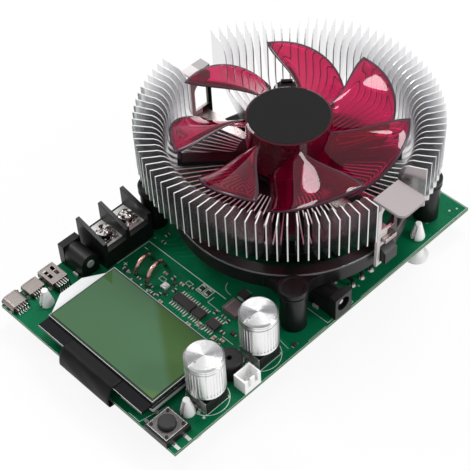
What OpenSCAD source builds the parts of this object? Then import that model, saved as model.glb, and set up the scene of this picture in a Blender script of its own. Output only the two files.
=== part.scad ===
// Bench dc electronic load: a bare circuit board with a fan cooled load transistor,
// a display, two control knobs and its sockets along the edges.
// Millimetres. X to the right, Y to the back, Z up from the underside of the feet.
// On the board, u runs from its left edge, v from its front edge and z from its top face.

/* [Circuit board] */
// Width of the circuit board
board_w = 100.6; // [99:0.1:106]
// Length of the circuit board behind the cooler's axis
board_back = 54; // [50:0.1:60]
// Thickness of the circuit board
board_t = 1.6; // [1:0.1:2.4]
// Height of the standoffs under the board
standoff_h = 10; // [8:0.5:16]
// Diameter of a standoff's foot
foot_d = 10.4; // [8:0.1:11]
// Diameter of a standoff's stem
stem_d = 6; // [5:0.1:7]
// Diameter of the board's holes for the standoffs
standoff_hole_d = 4; // [3.4:0.1:4.6]
// Largest diameter of a standoff's snap head
snap_d = 6; // [5.2:0.1:6.6]
// Height of a snap head above the board
snap_h = 8; // [5:0.5:9]
// Width of the slot that lets a snap head close
snap_slot = 1.2; // [0.8:0.1:1.6]
// Standoff at the front left, from the left edge
standoff_left_u = 12.5; // [11.5:0.1:13]
// Standoff at the front left, from the front edge
standoff_left_v = 13.1; // [12:0.1:13.6]
// Standoff at the front right, from the right edge
standoff_right_u = 10; // [8:0.1:11]
// Gap between the switch and the standoff behind it
standoff_right_gap = 1.2; // [0.5:0.1:2]
// Standoffs at the back, from the side edges
standoff_back_u = 5; // [4:0.1:6]
// Standoffs at the back, behind the cooler's axis
standoff_behind = 27.5; // [25:0.1:28.6]

/* [Data sockets] */
// Sheet thickness of the socket shells
shell_t = 0.35; // [0.25:0.05:0.5]
// Width of the flat reversible socket
flat_port_w = 7.8; // [7:0.1:8.2]
// Height of the flat reversible socket
flat_port_h = 3.2; // [2.8:0.1:3.6]
// Depth of the flat reversible socket
flat_port_d = 7.2; // [6:0.1:8]
// Front side of the flat reversible socket, from the front edge
flat_port_v = 0.5; // [0.2:0.1:0.8]
// Width of the small socket
small_port_w = 7.4; // [6.8:0.1:7.8]
// Height of the small socket
small_port_h = 2.8; // [2.4:0.1:3.2]
// Depth of the small socket
small_port_d = 6.2; // [5:0.1:7]
// Gap between the flat and the small socket
small_port_gap = 1.8; // [0.8:0.1:2.4]
// Width of the tall socket
tall_port_w = 7.6; // [7:0.1:8]
// Height of the tall socket
tall_port_h = 4; // [3.4:0.1:4.4]
// Depth of the tall socket
tall_port_d = 9.6; // [8:0.1:10]
// Gap between the small and the tall socket
tall_port_gap = 1.4; // [0.8:0.1:2.4]

/* [Power jacks] */
// Width of a jack
jack_w = 9; // [8.4:0.1:9.6]
// Height of a jack
jack_h = 11; // [10:0.1:11.4]
// Length of a jack
jack_l = 14.2; // [12.5:0.1:14.6]
// Thickness of a jack's square front plate
jack_plate_t = 3.4; // [2.5:0.1:4.5]
// Height of a jack's bore above the board
jack_axis_z = 6.4; // [6:0.1:6.5]
// Diameter of a jack's barrel
jack_barrel_d = 8.6; // [8.2:0.1:8.8]
// Diameter of a jack's bore
jack_bore_d = 6.3; // [5.8:0.1:6.6]
// Depth of a jack's bore
jack_bore_l = 10; // [8:0.1:11]
// Diameter of a jack's centre pin
jack_pin_d = 2.1; // [1.6:0.1:2.6]
// Gap between the tall socket and the load jack at the left edge
load_jack_gap = 4.3; // [2:0.1:6]
// Supply jack's axis at the right edge, in front of the cooler's axis
supply_jack_ahead = 23.3; // [21.6:0.1:24.4]
// How far a jack stands past the board's edge
jack_over = 0.3; // [0:0.1:1]

/* [Terminal block] */
// Depth of the terminal block
terminal_depth = 16.6; // [15:0.1:17]
// Distance between neighbouring walls
terminal_pitch = 11.75; // [11:0.05:12]
// Thickness of a wall
terminal_wall_t = 1.9; // [1.4:0.1:2.2]
// Height of the walls at the board's edge
terminal_wall_front = 18; // [16:0.1:19]
// Height of the walls at the inner side
terminal_wall_back = 14; // [13.2:0.1:15]
// Height of the floor under the contacts
terminal_floor = 8; // [6:0.1:9]
// Thickness of the rear wall
terminal_rear_t = 2.6; // [2:0.1:3.2]
// Height of the rear wall
terminal_rear_h = 8.9; // [8.4:0.1:13.2]
// Thickness of the lip ahead of the contact strips
terminal_lip_t = 0.9; // [0.6:0.1:1.2]
// Gap between the load jack and the block
terminal_gap = 1.3; // [0.6:0.1:3]
// Thickness of a contact strip
contact_t = 0.9; // [0.6:0.1:1.2]
// Side of a square clamp plate
clamp_w = 8; // [7:0.1:8.6]
// Thickness of a clamp plate
clamp_t = 1.2; // [0.8:0.1:1.6]
// Diameter of a screw head
screw_head_d = 6.6; // [5.6:0.1:7]
// Height of a screw head
screw_head_h = 2.2; // [1.6:0.1:2.6]
// Diameter of a screw's shank
screw_shank_d = 3.2; // [2.6:0.1:3.6]
// Distance of the screws from the board's edge
screw_u = 8.8; // [8:0.1:9.2]

/* [Display] */
// Distance of the glass from the board's left edge
lcd_left_u = 24; // [23.4:0.1:28]
// Least gap between the glass and the knobs
lcd_knob_gap = 0.5; // [0.3:0.1:2]
// Front edge of the rear glass, from the board's front edge
lcd_ledge_v = 0.6; // [0.4:0.1:2]
// Front edge of the front glass, from the board's front edge
lcd_front_v = 6; // [5.6:0.1:8]
// Back edge of the glass, from the board's front edge
lcd_back_v = 39.5; // [37:0.1:40.2]
// Thickness of the foam pads under the backlight
lcd_pad_t = 2.6; // [1.5:0.1:3.5]
// Thickness of the backlight
backlight_t = 3.8; // [2.5:0.1:4.5]
// How far the backlight's lamp tab reaches past the glass
backlight_tab = 6.9; // [5:0.1:7]
// Thickness of each glass plate
glass_t = 1.1; // [0.7:0.1:1.4]
// Thickness of the polarizing film
film_t = 0.4; // [0.2:0.1:0.6]
// Bare rim of glass around the film
film_inset = 1; // [0.5:0.1:2]
// Width of the ribbon
ribbon_w = 28.2; // [20:0.1:32]
// Left edge of the ribbon, from the left edge of the glass
ribbon_u = 15.1; // [10:0.1:18]
// Thickness of the ribbon
ribbon_t = 0.35; // [0.2:0.05:0.5]
// How far the ribbon stands in front of the board
ribbon_reach = 2.7; // [2:0.1:3.4]

/* [Control knobs] */
// Knob axes, from the board's right edge
knob_u = 9.5; // [9:0.1:9.7]
// Gap between the right standoff and the front control
pot_gap = 1.35; // [0.5:0.05:2]
// Diameter of a knob
knob_d = 15; // [13:0.1:15.4]
// Height of a knob
knob_h = 17; // [14:0.1:20]
// Underside of a knob above the board
knob_low = 8.5; // [8.4:0.1:10]
// Thickness of a knob's top
knob_top_t = 2.4; // [1.6:0.1:3]
// Number of grooves around a knob
knob_grooves = 36; // [24:1:40]
// Depth of a knob's grooves
knob_groove_t = 0.35; // [0.2:0.05:0.6]
// Diameter of a control shaft
shaft_d = 6; // [5:0.1:6.4]
// Depth of the flat on a control shaft
shaft_flat = 1.4; // [0.8:0.1:2]
// Side of a control's square body
pot_w = 10.7; // [9.6:0.1:11]
// Height of a control's body
pot_h = 6; // [5:0.1:6.2]
// Height of the collar on a control's body
pot_collar_h = 2; // [1:0.1:2.2]
// Diameter of the collar on a control's body
pot_collar_d = 8; // [7.4:0.1:9]
// Radial running clearance of a control shaft
shaft_clear = 0.06; // [0.02:0.01:0.1]

/* [Push switch] */
// Side of the switch's square base
switch_w = 12; // [11:0.1:12.2]
// Height of the switch's base
switch_h = 3.2; // [2.8:0.1:4]
// Distance of the switch from the board's right edge
switch_u = 3.6; // [3:0.1:4.4]
// How far the switch stands past the board's front edge
switch_over = 0.5; // [0:0.1:0.8]
// Side of the switch's metal cover
switch_cover_w = 10.6; // [9.6:0.1:11]
// Thickness of the switch's metal cover
switch_cover_t = 0.4; // [0.3:0.05:0.6]
// Diameter of the button
button_d = 6.8; // [6:0.1:7.4]
// Top of the button above the board
button_top = 5.6; // [5:0.1:9]
// Travel of the button
button_travel = 0.3; // [0.2:0.05:0.4]
// Thickness of the button's flange
button_flange_t = 1.1; // [0.8:0.1:1.2]
// Radial clearance of the button in its cover
button_clear = 0.1; // [0.05:0.01:0.2]

/* [Buzzer and header] */
// Diameter of the buzzer
buzzer_d = 10.2; // [8:0.1:12]
// Height of the buzzer
buzzer_h = 8.3; // [6:0.1:9.5]
// Diameter of the buzzer's sound hole
buzzer_hole_d = 2; // [1.4:0.1:3]
// Gap between the buzzer and the controls on either side
buzzer_gap = 3.35; // [1:0.05:5]
// Gap between the buzzer and the lead header
buzzer_side = 0.9; // [0.4:0.1:2]
// Width of the lead header along the board's edge
header_w = 8.3; // [7:0.1:8.8]
// Depth of the lead header
header_d = 6.1; // [5:0.1:6.2]
// Height of the lead header
header_h = 7; // [5.5:0.1:8]
// Wall of the lead header
header_wall = 0.8; // [0.6:0.1:1]
// Side of a header pin
header_pin_w = 0.64; // [0.5:0.02:0.8]
// Distance between the header pins
header_pitch = 2.5; // [2:0.1:3]

/* [Cooler] */
// Outer radius of the fins
fin_r = 60; // [54:0.1:64]
// Thickness of a fin
fin_t = 0.5; // [0.3:0.05:0.7]
// Number of fin places around the cooler
fin_places = 100; // [80:4:104]
// Underside of the fins at the rim, above the board
fin_low = 40; // [36:0.1:42]
// Top of the fins' upright outer edge, above the board
fin_shoulder = 59; // [55:0.1:62]
// Width of the fins' sloping top
fin_slope_w = 5.5; // [3:0.1:7]
// Fall of the fins' sloping top towards the inner lip
fin_slope_drop = 1.5; // [0.5:0.1:3]
// Width of the fins' rounded inner lip
fin_lip_w = 6.1; // [4:0.1:8]
// Height of the fins' rounded inner lip
fin_lip_h = 8; // [5:0.1:10]
// Radius of the cooler's core
core_r = 22; // [20:0.1:24]
// Top of the core, above the board
core_top = 33.5; // [31:0.1:36]
// Underside of the fins at the core, above the board
fin_root = 20; // [17:0.1:24]
// Radius of the core's base
base_r = 30; // [26:0.1:32]
// Thickness of the core's base
base_t = 5; // [4:0.1:7]
// Seat clearance between fins and core
fin_seat = 0.05; // [0.02:0.01:0.1]

/* [Cooler bracket] */
// Distance of the posts' axes outside the bracket ring
post_out = 7.26; // [6.8:0.02:8.2]
// Radius of a post
post_r = 5.2; // [4.6:0.1:5.4]
// Step from a post's top up to the bracket ring's top
post_step = 1; // [0:0.1:2]
// Gap between the terminal block and the front left post
post_gap = 1.1; // [0.8:0.1:3]
// Width of the bracket ring
ring_w = 5.2; // [4.2:0.1:7]
// Gap between the bracket ring and the hook plates
ring_gap = 1.4; // [1:0.1:2.4]
// Height of the bracket ring
ring_h = 7.3; // [6.3:0.1:8]
// Gap between the supply jack and the bracket ring over it
ring_lift = 0.7; // [0.4:0.1:2]
// Radius of the fillets between ring and posts
ring_fillet = 8; // [5:0.5:10]
// Radius of a push pin's cap
cap_r = 5.7; // [5:0.1:5.8]
// Height of a push pin's cap
cap_h = 3.6; // [2.5:0.1:4.5]
// Diameter of a push pin's stem
push_pin_d = 3.8; // [3:0.1:4.4]
// How far a push pin stands out under the board
push_pin_tip = 3.4; // [2:0.1:6]

/* [Clip] */
// Width of the clip bar
bar_w = 6.4; // [5:0.1:6.6]
// Thickness of the clip bar
bar_t = 2; // [1.4:0.1:2.4]
// Sheet between a hook plate's two lower windows
bar_bridge = 2; // [1.4:0.1:3]
// Hook plates' inner face, outside the inner edge of the fins
plate_out = 1.6; // [1.4:0.1:2.2]
// Thickness of the hook plates
plate_t = 1.2; // [0.9:0.1:1.4]
// Width of the hook plates
plate_w = 11.2; // [10.4:0.1:12]
// Underside of the hook plates, above the bracket ring's underside
plate_lift = 1.5; // [0.9:0.1:2.3]
// Height of the lever's pivot above the board
pivot_z = 47; // [45.5:0.1:48]
// Diameter of the lever's pivot pin
pivot_d = 2; // [1.6:0.1:2.4]
// Radius of the knuckle around the pivot pin
knuckle_r = 1.9; // [1.7:0.05:2]
// Length of the lever's pad, outwards
pad_l = 14.4; // [10:0.1:16]
// Thickness of the lever's sheet
lever_t = 1.2; // [0.9:0.1:1.4]
// Corner radius of the lever's pad
pad_corner = 3; // [1:0.1:4]
// Side clearance between lever and hook plate
lever_clear = 0.3; // [0.2:0.05:0.5]
// Length of the bent tab on the far hook plate
far_tab_l = 4; // [2:0.1:6]

/* [Fan] */
// Radius of the fan hub
hub_r = 16.9; // [16:0.1:18]
// Top of the fan hub above the board
hub_top = 57; // [55:0.1:58]
// Gap between the fan's base and the hub
hub_gap = 2; // [1:0.1:4]
// Wall of the fan hub
hub_wall = 1.3; // [1:0.1:1.4]
// Gap between the blade tips and the fins
tip_gap = 1.9; // [1.6:0.1:6]
// Thickness of a fan blade
blade_t = 1.6; // [1.2:0.1:2]
// Number of fan blades
blade_count = 7; // [5:1:9]
// Angle that a blade covers at the hub
blade_chord = 40; // [30:1:44]
// Angle that a blade covers at its outer edge
blade_tip_chord = 50.8; // [40:0.2:56]
// Forward sweep of the blade tips, in degrees
blade_sweep = 23.6; // [10:0.2:30]
// How far a blade's trailing corner is rounded off
blade_trim = 10.3; // [4:0.1:14]
// Height of the blades' lower edge above the hub's lower edge
blade_lift = 0.6; // [0.4:0.1:6]
// Turn of the fan at rest, in degrees
fan_turn = 18.4; // [0:0.1:51]
// Diameter of the fan shaft
fan_shaft_d = 3; // [2:0.1:3.4]
// Radial running clearance of the fan shaft
fan_shaft_clear = 0.04; // [0.02:0.01:0.1]
// Thickness of the fan's base and arms
fan_base_t = 2.5; // [2:0.1:2.6]
// Width of a fan arm
fan_arm_w = 5; // [4:0.1:8]
// Outer radius of the fan's stator
stator_r = 11.8; // [10:0.1:12]

/* [Board parts] */
// Distance between the load transistor's leads
lead_pitch = 5.45; // [5:0.05:5.6]
// Distance of the solder joints from the board's right edge
lead_u = 6.9; // [6.6:0.1:7.6]
// Length of the load transistor's body
transistor_l = 20.8; // [19:0.1:22]
// Width of the load transistor's body
transistor_w = 15.9; // [15:0.1:16.4]
// Thickness of the load transistor's body
transistor_t = 5; // [4.4:0.1:5.4]
// Thickness of the thermal pad on the load transistor
pad_t = 0.3; // [0.2:0.05:0.6]
// Wire diameter of the current shunts
shunt_d = 1.6; // [1.2:0.1:2]
// Span of the narrow current shunt
shunt_span_near = 12; // [10:0.1:12.6]
// Span of the wide current shunt
shunt_span_far = 14; // [12:0.1:14.6]
// Lead pitch of the flat chips
chip_pitch = 1.27; // [1:0.01:1.3]
// Width of the flat chips' bodies
chip_w = 3.9; // [3.4:0.1:4.4]
// Height of the flat chips' bodies
chip_h = 1.5; // [1:0.1:2]

/* [Hidden] */
$fn = 64;
// overshoot of cuts, and the fit of pieces that are pushed into each other
over = 1;
fit = 0.02;
seat = 0.1;
fin_step = 360 / fin_places;
// fins are left out where the clip passes, on one side a little wider
gap_ahead = 9;
gap_behind = 13;
function in_gap(a) = let (m = (a + 90) % 180 - 90) m < gap_ahead && m > -gap_behind;
fin_angles = [for (i = [0 : fin_places - 1]) if (!in_gap(i * fin_step)) i * fin_step];
// frame: the middle of the footprint is the origin
fin_lip_r = fin_r - fin_slope_w;
fin_bowl_r = fin_lip_r - fin_lip_w;
plate_r = fin_bowl_r + plate_out;
ring_r = plate_r - ring_gap;
ring_bore_r = ring_r - ring_w;
blade_r = fin_bowl_r - tip_gap;
// bracket posts stand on the diagonals
post_far = ring_r + post_out;
post_half = post_far / sqrt(2);
// the row along the left edge, from the front edge back to the cooler
small_port_v = flat_port_v + flat_port_w + small_port_gap;
tall_port_v = small_port_v + small_port_w + tall_port_gap;
load_jack_v = tall_port_v + tall_port_w + load_jack_gap;
terminal_front = load_jack_v + jack_w + terminal_gap;
terminal_len = 2 * terminal_pitch + terminal_wall_t;
post_front_v = terminal_front + terminal_len + post_gap + post_r;
cooler_v = post_front_v + post_half;
board_l = cooler_v + board_back;
supply_jack_v = cooler_v - supply_jack_ahead - jack_w / 2;
// the row along the right edge
standoff_right_v = switch_w - switch_over + standoff_right_gap + snap_d / 2;
front_knob_v = standoff_right_v + snap_d / 2 + pot_gap + pot_w / 2;
rear_knob_v = front_knob_v + pot_w + buzzer_d + 2 * buzzer_gap;
buzzer_back = 0.3;
buzzer_v = (front_knob_v + rear_knob_v) / 2 + buzzer_back;
buzzer_u = header_d - seat + buzzer_side + buzzer_d / 2;
header_back = 0.25;
header_v = buzzer_v + header_back - header_w / 2;
pivot_r = plate_r + plate_t / 2;
pad_in = 1.4;
pad_reach = pivot_r - pad_in + pad_l;
fin_side = max([for (a = fin_angles) fin_r * cos(a)]);
axis_x = (fin_side - pad_reach) / 2;
left_x = axis_x - board_w / 2;
front_y = (ribbon_reach - cooler_v - fin_r) / 2;
axis_y = front_y + cooler_v;
board_top = standoff_h + board_t;
standoff_back_v = cooler_v + standoff_behind;
standoff_places = [
    [standoff_left_u, standoff_left_v],
    [board_w - standoff_right_u, standoff_right_v],
    [board_w - standoff_back_u, standoff_back_v],
    [standoff_back_u, standoff_back_v]
];
post_places = [for (x = [-1, 1], y = [-1, 1]) [x * post_half, y * post_half]];
push_pin_clear = 0.15;
push_pin_hole_d = push_pin_d + 2 * push_pin_clear;

// terminal block
terminal_pocket = terminal_pitch - terminal_wall_t;
clamp_low = terminal_floor + contact_t + seat;
screw_low = clamp_low + clamp_t + seat;
screw_clear = 0.06;
function screw_v(i) = terminal_front + terminal_wall_t / 2 + (i + 0.5) * terminal_pitch;

// display
// the glass keeps clear of the knobs, the buzzer and the switch
lcd_buzzer_gap = 0.4;
lcd_switch_gap = 1.9;
lcd_right = max(knob_u + knob_d / 2 + lcd_knob_gap, buzzer_u + buzzer_d / 2 + lcd_buzzer_gap,
    switch_u + switch_w + lcd_switch_gap);
lcd_right_u = board_w - lcd_right;
lcd_w = lcd_right_u - lcd_left_u;
rear_glass_z = lcd_pad_t + backlight_t;
front_glass_z = rear_glass_z + glass_t;
film_z = front_glass_z + glass_t;
backlight_front_v = lcd_front_v - 0.4;
backlight_tab_t = 1.8;

// controls
knob_axis_u = board_w - knob_u;
shaft_top = knob_low + knob_h - knob_top_t - seat;
shaft_low = 1.2;

// switch
switch_left_u = board_w - switch_u - switch_w;
switch_axis_u = board_w - switch_u - switch_w / 2;
switch_axis_v = switch_w / 2 - switch_over;
flange_d = button_d + 1.4;
flange_low = switch_h - seat / 2 - button_flange_t;
well_d = flange_d + 2 * (button_clear + 0.2);
dome_t = 0.35;
dome_low = flange_low - button_travel - dome_t - seat;

// cooler heights
ring_low = jack_h + ring_lift;
ring_top = ring_low + ring_h;
post_h = ring_top - post_step;
core_low = transistor_t + pad_t;
fin_floor = core_top - seat;
fan_base_top = core_top + fan_base_t;
hub_low = fan_base_top + hub_gap;
fin_turn_r = 4;
bar_clear = 0.4;
slot_w = bar_w + 2 * bar_clear;
bar_end = 2.2;
bar_reach = plate_r + plate_t + bar_end;

// hook plate windows, from the board
plate_low = ring_low + plate_lift;
plate_foot = 1.4;
lug_window_low = plate_low + plate_foot;
lug_h = 8.2;
lug_clear = 0.4;
lug_w = 6.8;
bar_window_low = lug_window_low + lug_h + 2 * lug_clear + bar_bridge;
bar_low = bar_window_low + bar_clear;
bar_window_top = bar_low + bar_t + seat / 2;
view_bridge = 2.4;
view_window_low = bar_window_top + view_bridge;
plate_side = 2;
view_window_w = plate_w - 2 * plate_side;
// solid sheet between the pivot's knuckle and the middle of the window's arch
arch_gap = 5;
lever_w = plate_w + 2 * (lever_clear + lever_t);
lever_gap = 0.4;
lever_pad_z = pivot_z + knuckle_r + lever_gap;

// sockets: two corners of a keyed shell are cut by this much
port_corner = 1;
header_floor = 1.6;
header_left_u = board_w + seat - header_d;
function header_pin_v(i) = header_v + header_w / 2 + (i - 0.5) * header_pitch;

// load transistor under the cooler
lead_w = 1.2;
lead_t = 0.6;
lead_hole_d = 1.8;
lead_hole_u = board_w - lead_u;
lead_reach = 17.5;
lead_z = transistor_t / 2;
transistor_forward = 4.5;
transistor_mid_v = cooler_v - transistor_forward;
transistor_right_u = lead_hole_u - lead_reach;
function lead_v(i) = transistor_mid_v + i * lead_pitch;

// parts between the display and the cooler
mid_u = board_w / 2;
shunt_near_at = [mid_u - 24.1, 52.4];
shunt_near_turn = 97;
shunt_far_at = [mid_u - 17, 52.3];
shunt_far_turn = 101;
diode_at = [mid_u + 18.9, 61.2];
chip_row_v = 47.5;
chip_gap = 0.15;
chip_reach = 0.9;
chip_mid_v = chip_row_v + chip_reach + chip_w / 2;
// each flat chip: place of its first lead from the middle line and the number of leads on a side
chips = [for (c = [[-2.5, 8], [8.3, 4], [16.4, 4]]) [mid_u + c[0], c[1]]];
// each small part: place from the middle line and along v, then its size along u, along v and its height
middle_parts = [
    [-10, 50.9, 2.8, 3, 1.8], [1.4, 60.3, 1.6, 3.2, 0.6], [4.9, 60.3, 1.6, 3.2, 0.6],
    [-5.7, 52, 1.2, 2, 0.6], [-5.7, 56.2, 2, 1.2, 0.8], [-1.9, 57.6, 2, 1.2, 0.6],
    [-10.7, 56.2, 1.2, 2, 0.6], [10.7, 44, 2, 1.2, 0.8], [23.3, 50.2, 2, 1.2, 0.6],
    [26.1, 47.2, 2, 1.2, 0.8], [26.7, 52.6, 3, 1.7, 1.1], [14.1, 55.4, 1.2, 2, 0.6],
    [-10.7, 45, 2, 1.2, 0.6]
];
// parts beside the front posts, from a post's axis, and one beside the rear control, from its axis
post_parts = [[-post_half + 11.8, -6.2, 2, 1.2, 0.6], [-post_half + 9.8, -2.4, 1.2, 2, 0.6],
    [post_half + 8.1, -7.9, 1.7, 2.7, 1]];
pot_part = [knob_axis_u - 10.7, rear_knob_v + 4.4, 2, 1.2, 0.8];
small_part_list = concat(
    [for (p = middle_parts) [mid_u + p[0], p[1], p[2], p[3], p[4]]],
    [for (p = post_parts) [mid_u + p[0], post_front_v + p[1], p[2], p[3], p[4]]],
    [pot_part]
);

// fan motor
tube_r = 4.4;
bearing_r = fan_shaft_d / 2 + fan_shaft_clear;
shaft_end = core_top + 0.6;
boss_r = fan_shaft_d / 2 + 2;
boss_low = hub_top - hub_wall - 3.4;
tube_top = boss_low - 0.6;
magnet_gap = 0.7;
magnet_out_r = hub_r - hub_wall - fit;

// a blade's skin: s runs from hub to tip, t from the leading to the trailing edge
blade_root = hub_r + 3 * fit;
blade_drop = 1.6;
blade_arch = 0.9;
blade_low_z = hub_low + blade_lift + blade_t;
blade_rise = hub_top - blade_drop - blade_low_z;
function blade_angle(s, t) =
    fan_turn + blade_sweep * sin(90 * s) - t * (blade_chord + (blade_tip_chord - blade_chord) * s);
function blade_radius(s, t) = blade_root + s * (blade_r - blade_trim * pow(t, 3.2) - blade_root);
function blade_z(s, t) =
    hub_top - blade_drop + blade_arch * sin(110 * s) - blade_rise * pow(t, 1.1 * (1 + s));
function blade_point(s, t, side) = let (r = blade_radius(s, t), a = blade_angle(s, t))
    [r * cos(a), r * sin(a), blade_z(s, t) - side * blade_t];

module on_board(u, v, z = 0) {
    translate([left_x + u, front_y + v, board_top + z]) children();
}

module on_axis(z = 0) {
    translate([axis_x, axis_y, board_top + z]) children();
}

// lays a profile drawn across a socket along u
module along_u(length) {
    rotate([90, 0, 90]) linear_extrude(length) children();
}

module ring(outer_r, inner_r, height) {
    difference() {
        cylinder(r = outer_r, h = height);
        translate([0, 0, -over]) cylinder(r = inner_r, h = height + 2 * over);
    }
}

// circuit board and what it stands on

module circuit_board() {
    hole_h = board_t + 2 * over;
    color("darkgreen") difference() {
        on_board(0, 0, -board_t) cube([board_w, board_l, board_t]);
        for (p = standoff_places) {
            on_board(p[0], p[1], -board_t - over) cylinder(d = standoff_hole_d, h = hole_h);
        }
        for (p = post_places) {
            on_axis(-board_t - over) translate(p) cylinder(d = push_pin_hole_d, h = hole_h);
        }
        for (i = [-1 : 1]) {
            on_board(lead_hole_u, lead_v(i), -board_t - over) cylinder(d = lead_hole_d, h = hole_h);
        }
    }
}

module standoff() {
    neck_r = standoff_hole_d / 2 - seat;
    foot_t = 1.2;
    foot_cone = 2.6;
    snap_tip_r = 1.3;
    snap_rim = 1;
    rotate_extrude() polygon([
        [0, 0], [foot_d / 2, 0], [foot_d / 2, foot_t], [stem_d / 2, foot_cone],
        [stem_d / 2, standoff_h], [neck_r, standoff_h], [neck_r, board_top],
        [snap_d / 2, board_top], [snap_d / 2, board_top + snap_rim],
        [snap_tip_r, board_top + snap_h], [0, board_top + snap_h]
    ]);
}

module standoffs() {
    slot_low = standoff_h + board_t / 2;
    color("white") for (p = standoff_places) {
        translate([left_x + p[0], front_y + p[1], 0]) difference() {
            standoff();
            translate([-snap_slot / 2, -snap_d, slot_low]) cube([snap_slot, 2 * snap_d, snap_h]);
        }
    }
}

// data sockets at the left edge, their mouths to the left

module flat_outline(w, h) {
    translate([(h - w) / 2, h / 2]) circle(d = h);
    translate([(w - h) / 2, h / 2]) circle(d = h);
    translate([(h - w) / 2, 0]) square([w - h, h]);
}

module keyed_outline(w, h) {
    c = port_corner;
    polygon([[-w / 2, c], [c - w / 2, 0], [w / 2 - c, 0], [w / 2, c], [w / 2, h], [-w / 2, h]]);
}

module keyed_shell(w, h, d) {
    difference() {
        along_u(d) keyed_outline(w, h);
        translate([-over, 0, shell_t])
            along_u(d - shell_t + over) keyed_outline(w - 2 * shell_t, h - 2 * shell_t);
    }
}

// a tongue on a block that fills the back of its shell
module port_tongue(w, h, d, tongue_w, tongue_t, tongue_z) {
    block_d = d * 0.3;
    block_w = w - 2 * shell_t - 2 * port_corner;
    translate([d - shell_t - block_d, -block_w / 2, shell_t]) cube([block_d, block_w, h - 2 * shell_t]);
    translate([over, -tongue_w / 2, tongue_z]) cube([d - shell_t - over, tongue_w, tongue_t]);
}

module flat_port_shell() {
    color("silver") on_board(0, flat_port_v + flat_port_w / 2) difference() {
        along_u(flat_port_d) flat_outline(flat_port_w, flat_port_h);
        translate([-over, 0, shell_t])
            along_u(flat_port_d - shell_t + over)
                flat_outline(flat_port_w - 2 * shell_t, flat_port_h - 2 * shell_t);
    }
}

module flat_port_tongue() {
    tongue_t = 0.7;
    color("dimgray") on_board(0, flat_port_v + flat_port_w / 2)
        port_tongue(flat_port_w - flat_port_h, flat_port_h, flat_port_d,
            flat_port_w - flat_port_h, tongue_t, (flat_port_h - tongue_t) / 2);
}

module small_port_shell() {
    color("silver") on_board(0, small_port_v + small_port_w / 2)
        keyed_shell(small_port_w, small_port_h, small_port_d);
}

module small_port_tongue() {
    tongue_t = 0.6;
    color("dimgray") on_board(0, small_port_v + small_port_w / 2)
        port_tongue(small_port_w, small_port_h, small_port_d,
            small_port_w - 4 * port_corner, tongue_t, small_port_h - shell_t - 2 * tongue_t);
}

module tall_port_shell() {
    window_w = 1.5;
    window_l = tall_port_d * 0.24;
    window_at = tall_port_w * 0.22;
    color("silver") on_board(0, tall_port_v + tall_port_w / 2) difference() {
        keyed_shell(tall_port_w, tall_port_h, tall_port_d);
        for (u = [0.16, 0.46], side = [-1, 1]) {
            translate([u * tall_port_d, side * window_at - window_w / 2, tall_port_h - shell_t - seat])
                cube([window_l, window_w, shell_t + over]);
        }
    }
}

module tall_port_tongue() {
    tongue_t = 0.9;
    color("dimgray") on_board(0, tall_port_v + tall_port_w / 2)
        port_tongue(tall_port_w, tall_port_h, tall_port_d,
            tall_port_w - 4 * port_corner, tongue_t, (tall_port_h - tongue_t) / 2);
}

// round power jacks, drawn with the mouth at x = 0 and the barrel behind it

module jack_body() {
    color("black") difference() {
        union() {
            translate([0, -jack_w / 2, 0]) cube([jack_plate_t, jack_w, jack_h]);
            translate([jack_plate_t, -jack_barrel_d / 2, 0])
                cube([jack_l - jack_plate_t, jack_barrel_d, jack_axis_z]);
            translate([jack_plate_t, 0, jack_axis_z]) rotate([0, 90, 0])
                cylinder(d = jack_barrel_d, h = jack_l - jack_plate_t);
        }
        translate([-over, 0, jack_axis_z]) rotate([0, 90, 0])
            cylinder(d = jack_bore_d, h = jack_bore_l + over);
        translate([0, 0, jack_axis_z]) rotate([0, 90, 0])
            cylinder(d = jack_pin_d + 2 * fit, h = jack_l + over);
    }
}

module jack_pin() {
    rivet_d = jack_pin_d + 1.3;
    rivet_t = 0.5;
    pin_start = 1.2;
    color("silver") translate([0, 0, jack_axis_z]) rotate([0, 90, 0]) {
        translate([0, 0, pin_start]) cylinder(d = jack_pin_d, h = jack_l - pin_start);
        translate([0, 0, jack_l]) cylinder(d = rivet_d, h = rivet_t);
    }
}

module load_jack_place() {
    on_board(-jack_over, load_jack_v + jack_w / 2) children();
}

module supply_jack_place() {
    on_board(board_w + jack_over, supply_jack_v + jack_w / 2) mirror([1, 0, 0]) children();
}

module load_jack_body() { load_jack_place() jack_body(); }
module load_jack_pin() { load_jack_place() jack_pin(); }
module supply_jack_body() { supply_jack_place() jack_body(); }
module supply_jack_pin() { supply_jack_place() jack_pin(); }

// barrier terminal block at the left edge

module terminal_block_body() {
    bore_low = 1.5;
    color("black") difference() {
        on_board(0, terminal_front) union() {
            cube([terminal_depth, terminal_len, terminal_floor]);
            cube([terminal_lip_t, terminal_len, terminal_floor + contact_t]);
            translate([terminal_depth - terminal_rear_t, 0, 0])
                cube([terminal_rear_t, terminal_len, terminal_rear_h]);
            for (i = [0 : 2]) {
                translate([0, i * terminal_pitch + terminal_wall_t, 0]) rotate([90, 0, 0])
                    linear_extrude(terminal_wall_t) polygon([
                        [0, 0], [terminal_depth, 0],
                        [terminal_depth, terminal_wall_back], [0, terminal_wall_front]
                    ]);
            }
        }
        for (i = [0, 1]) {
            on_board(screw_u, screw_v(i), bore_low)
                cylinder(d = screw_shank_d + 2 * screw_clear, h = terminal_floor);
        }
    }
}

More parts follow.
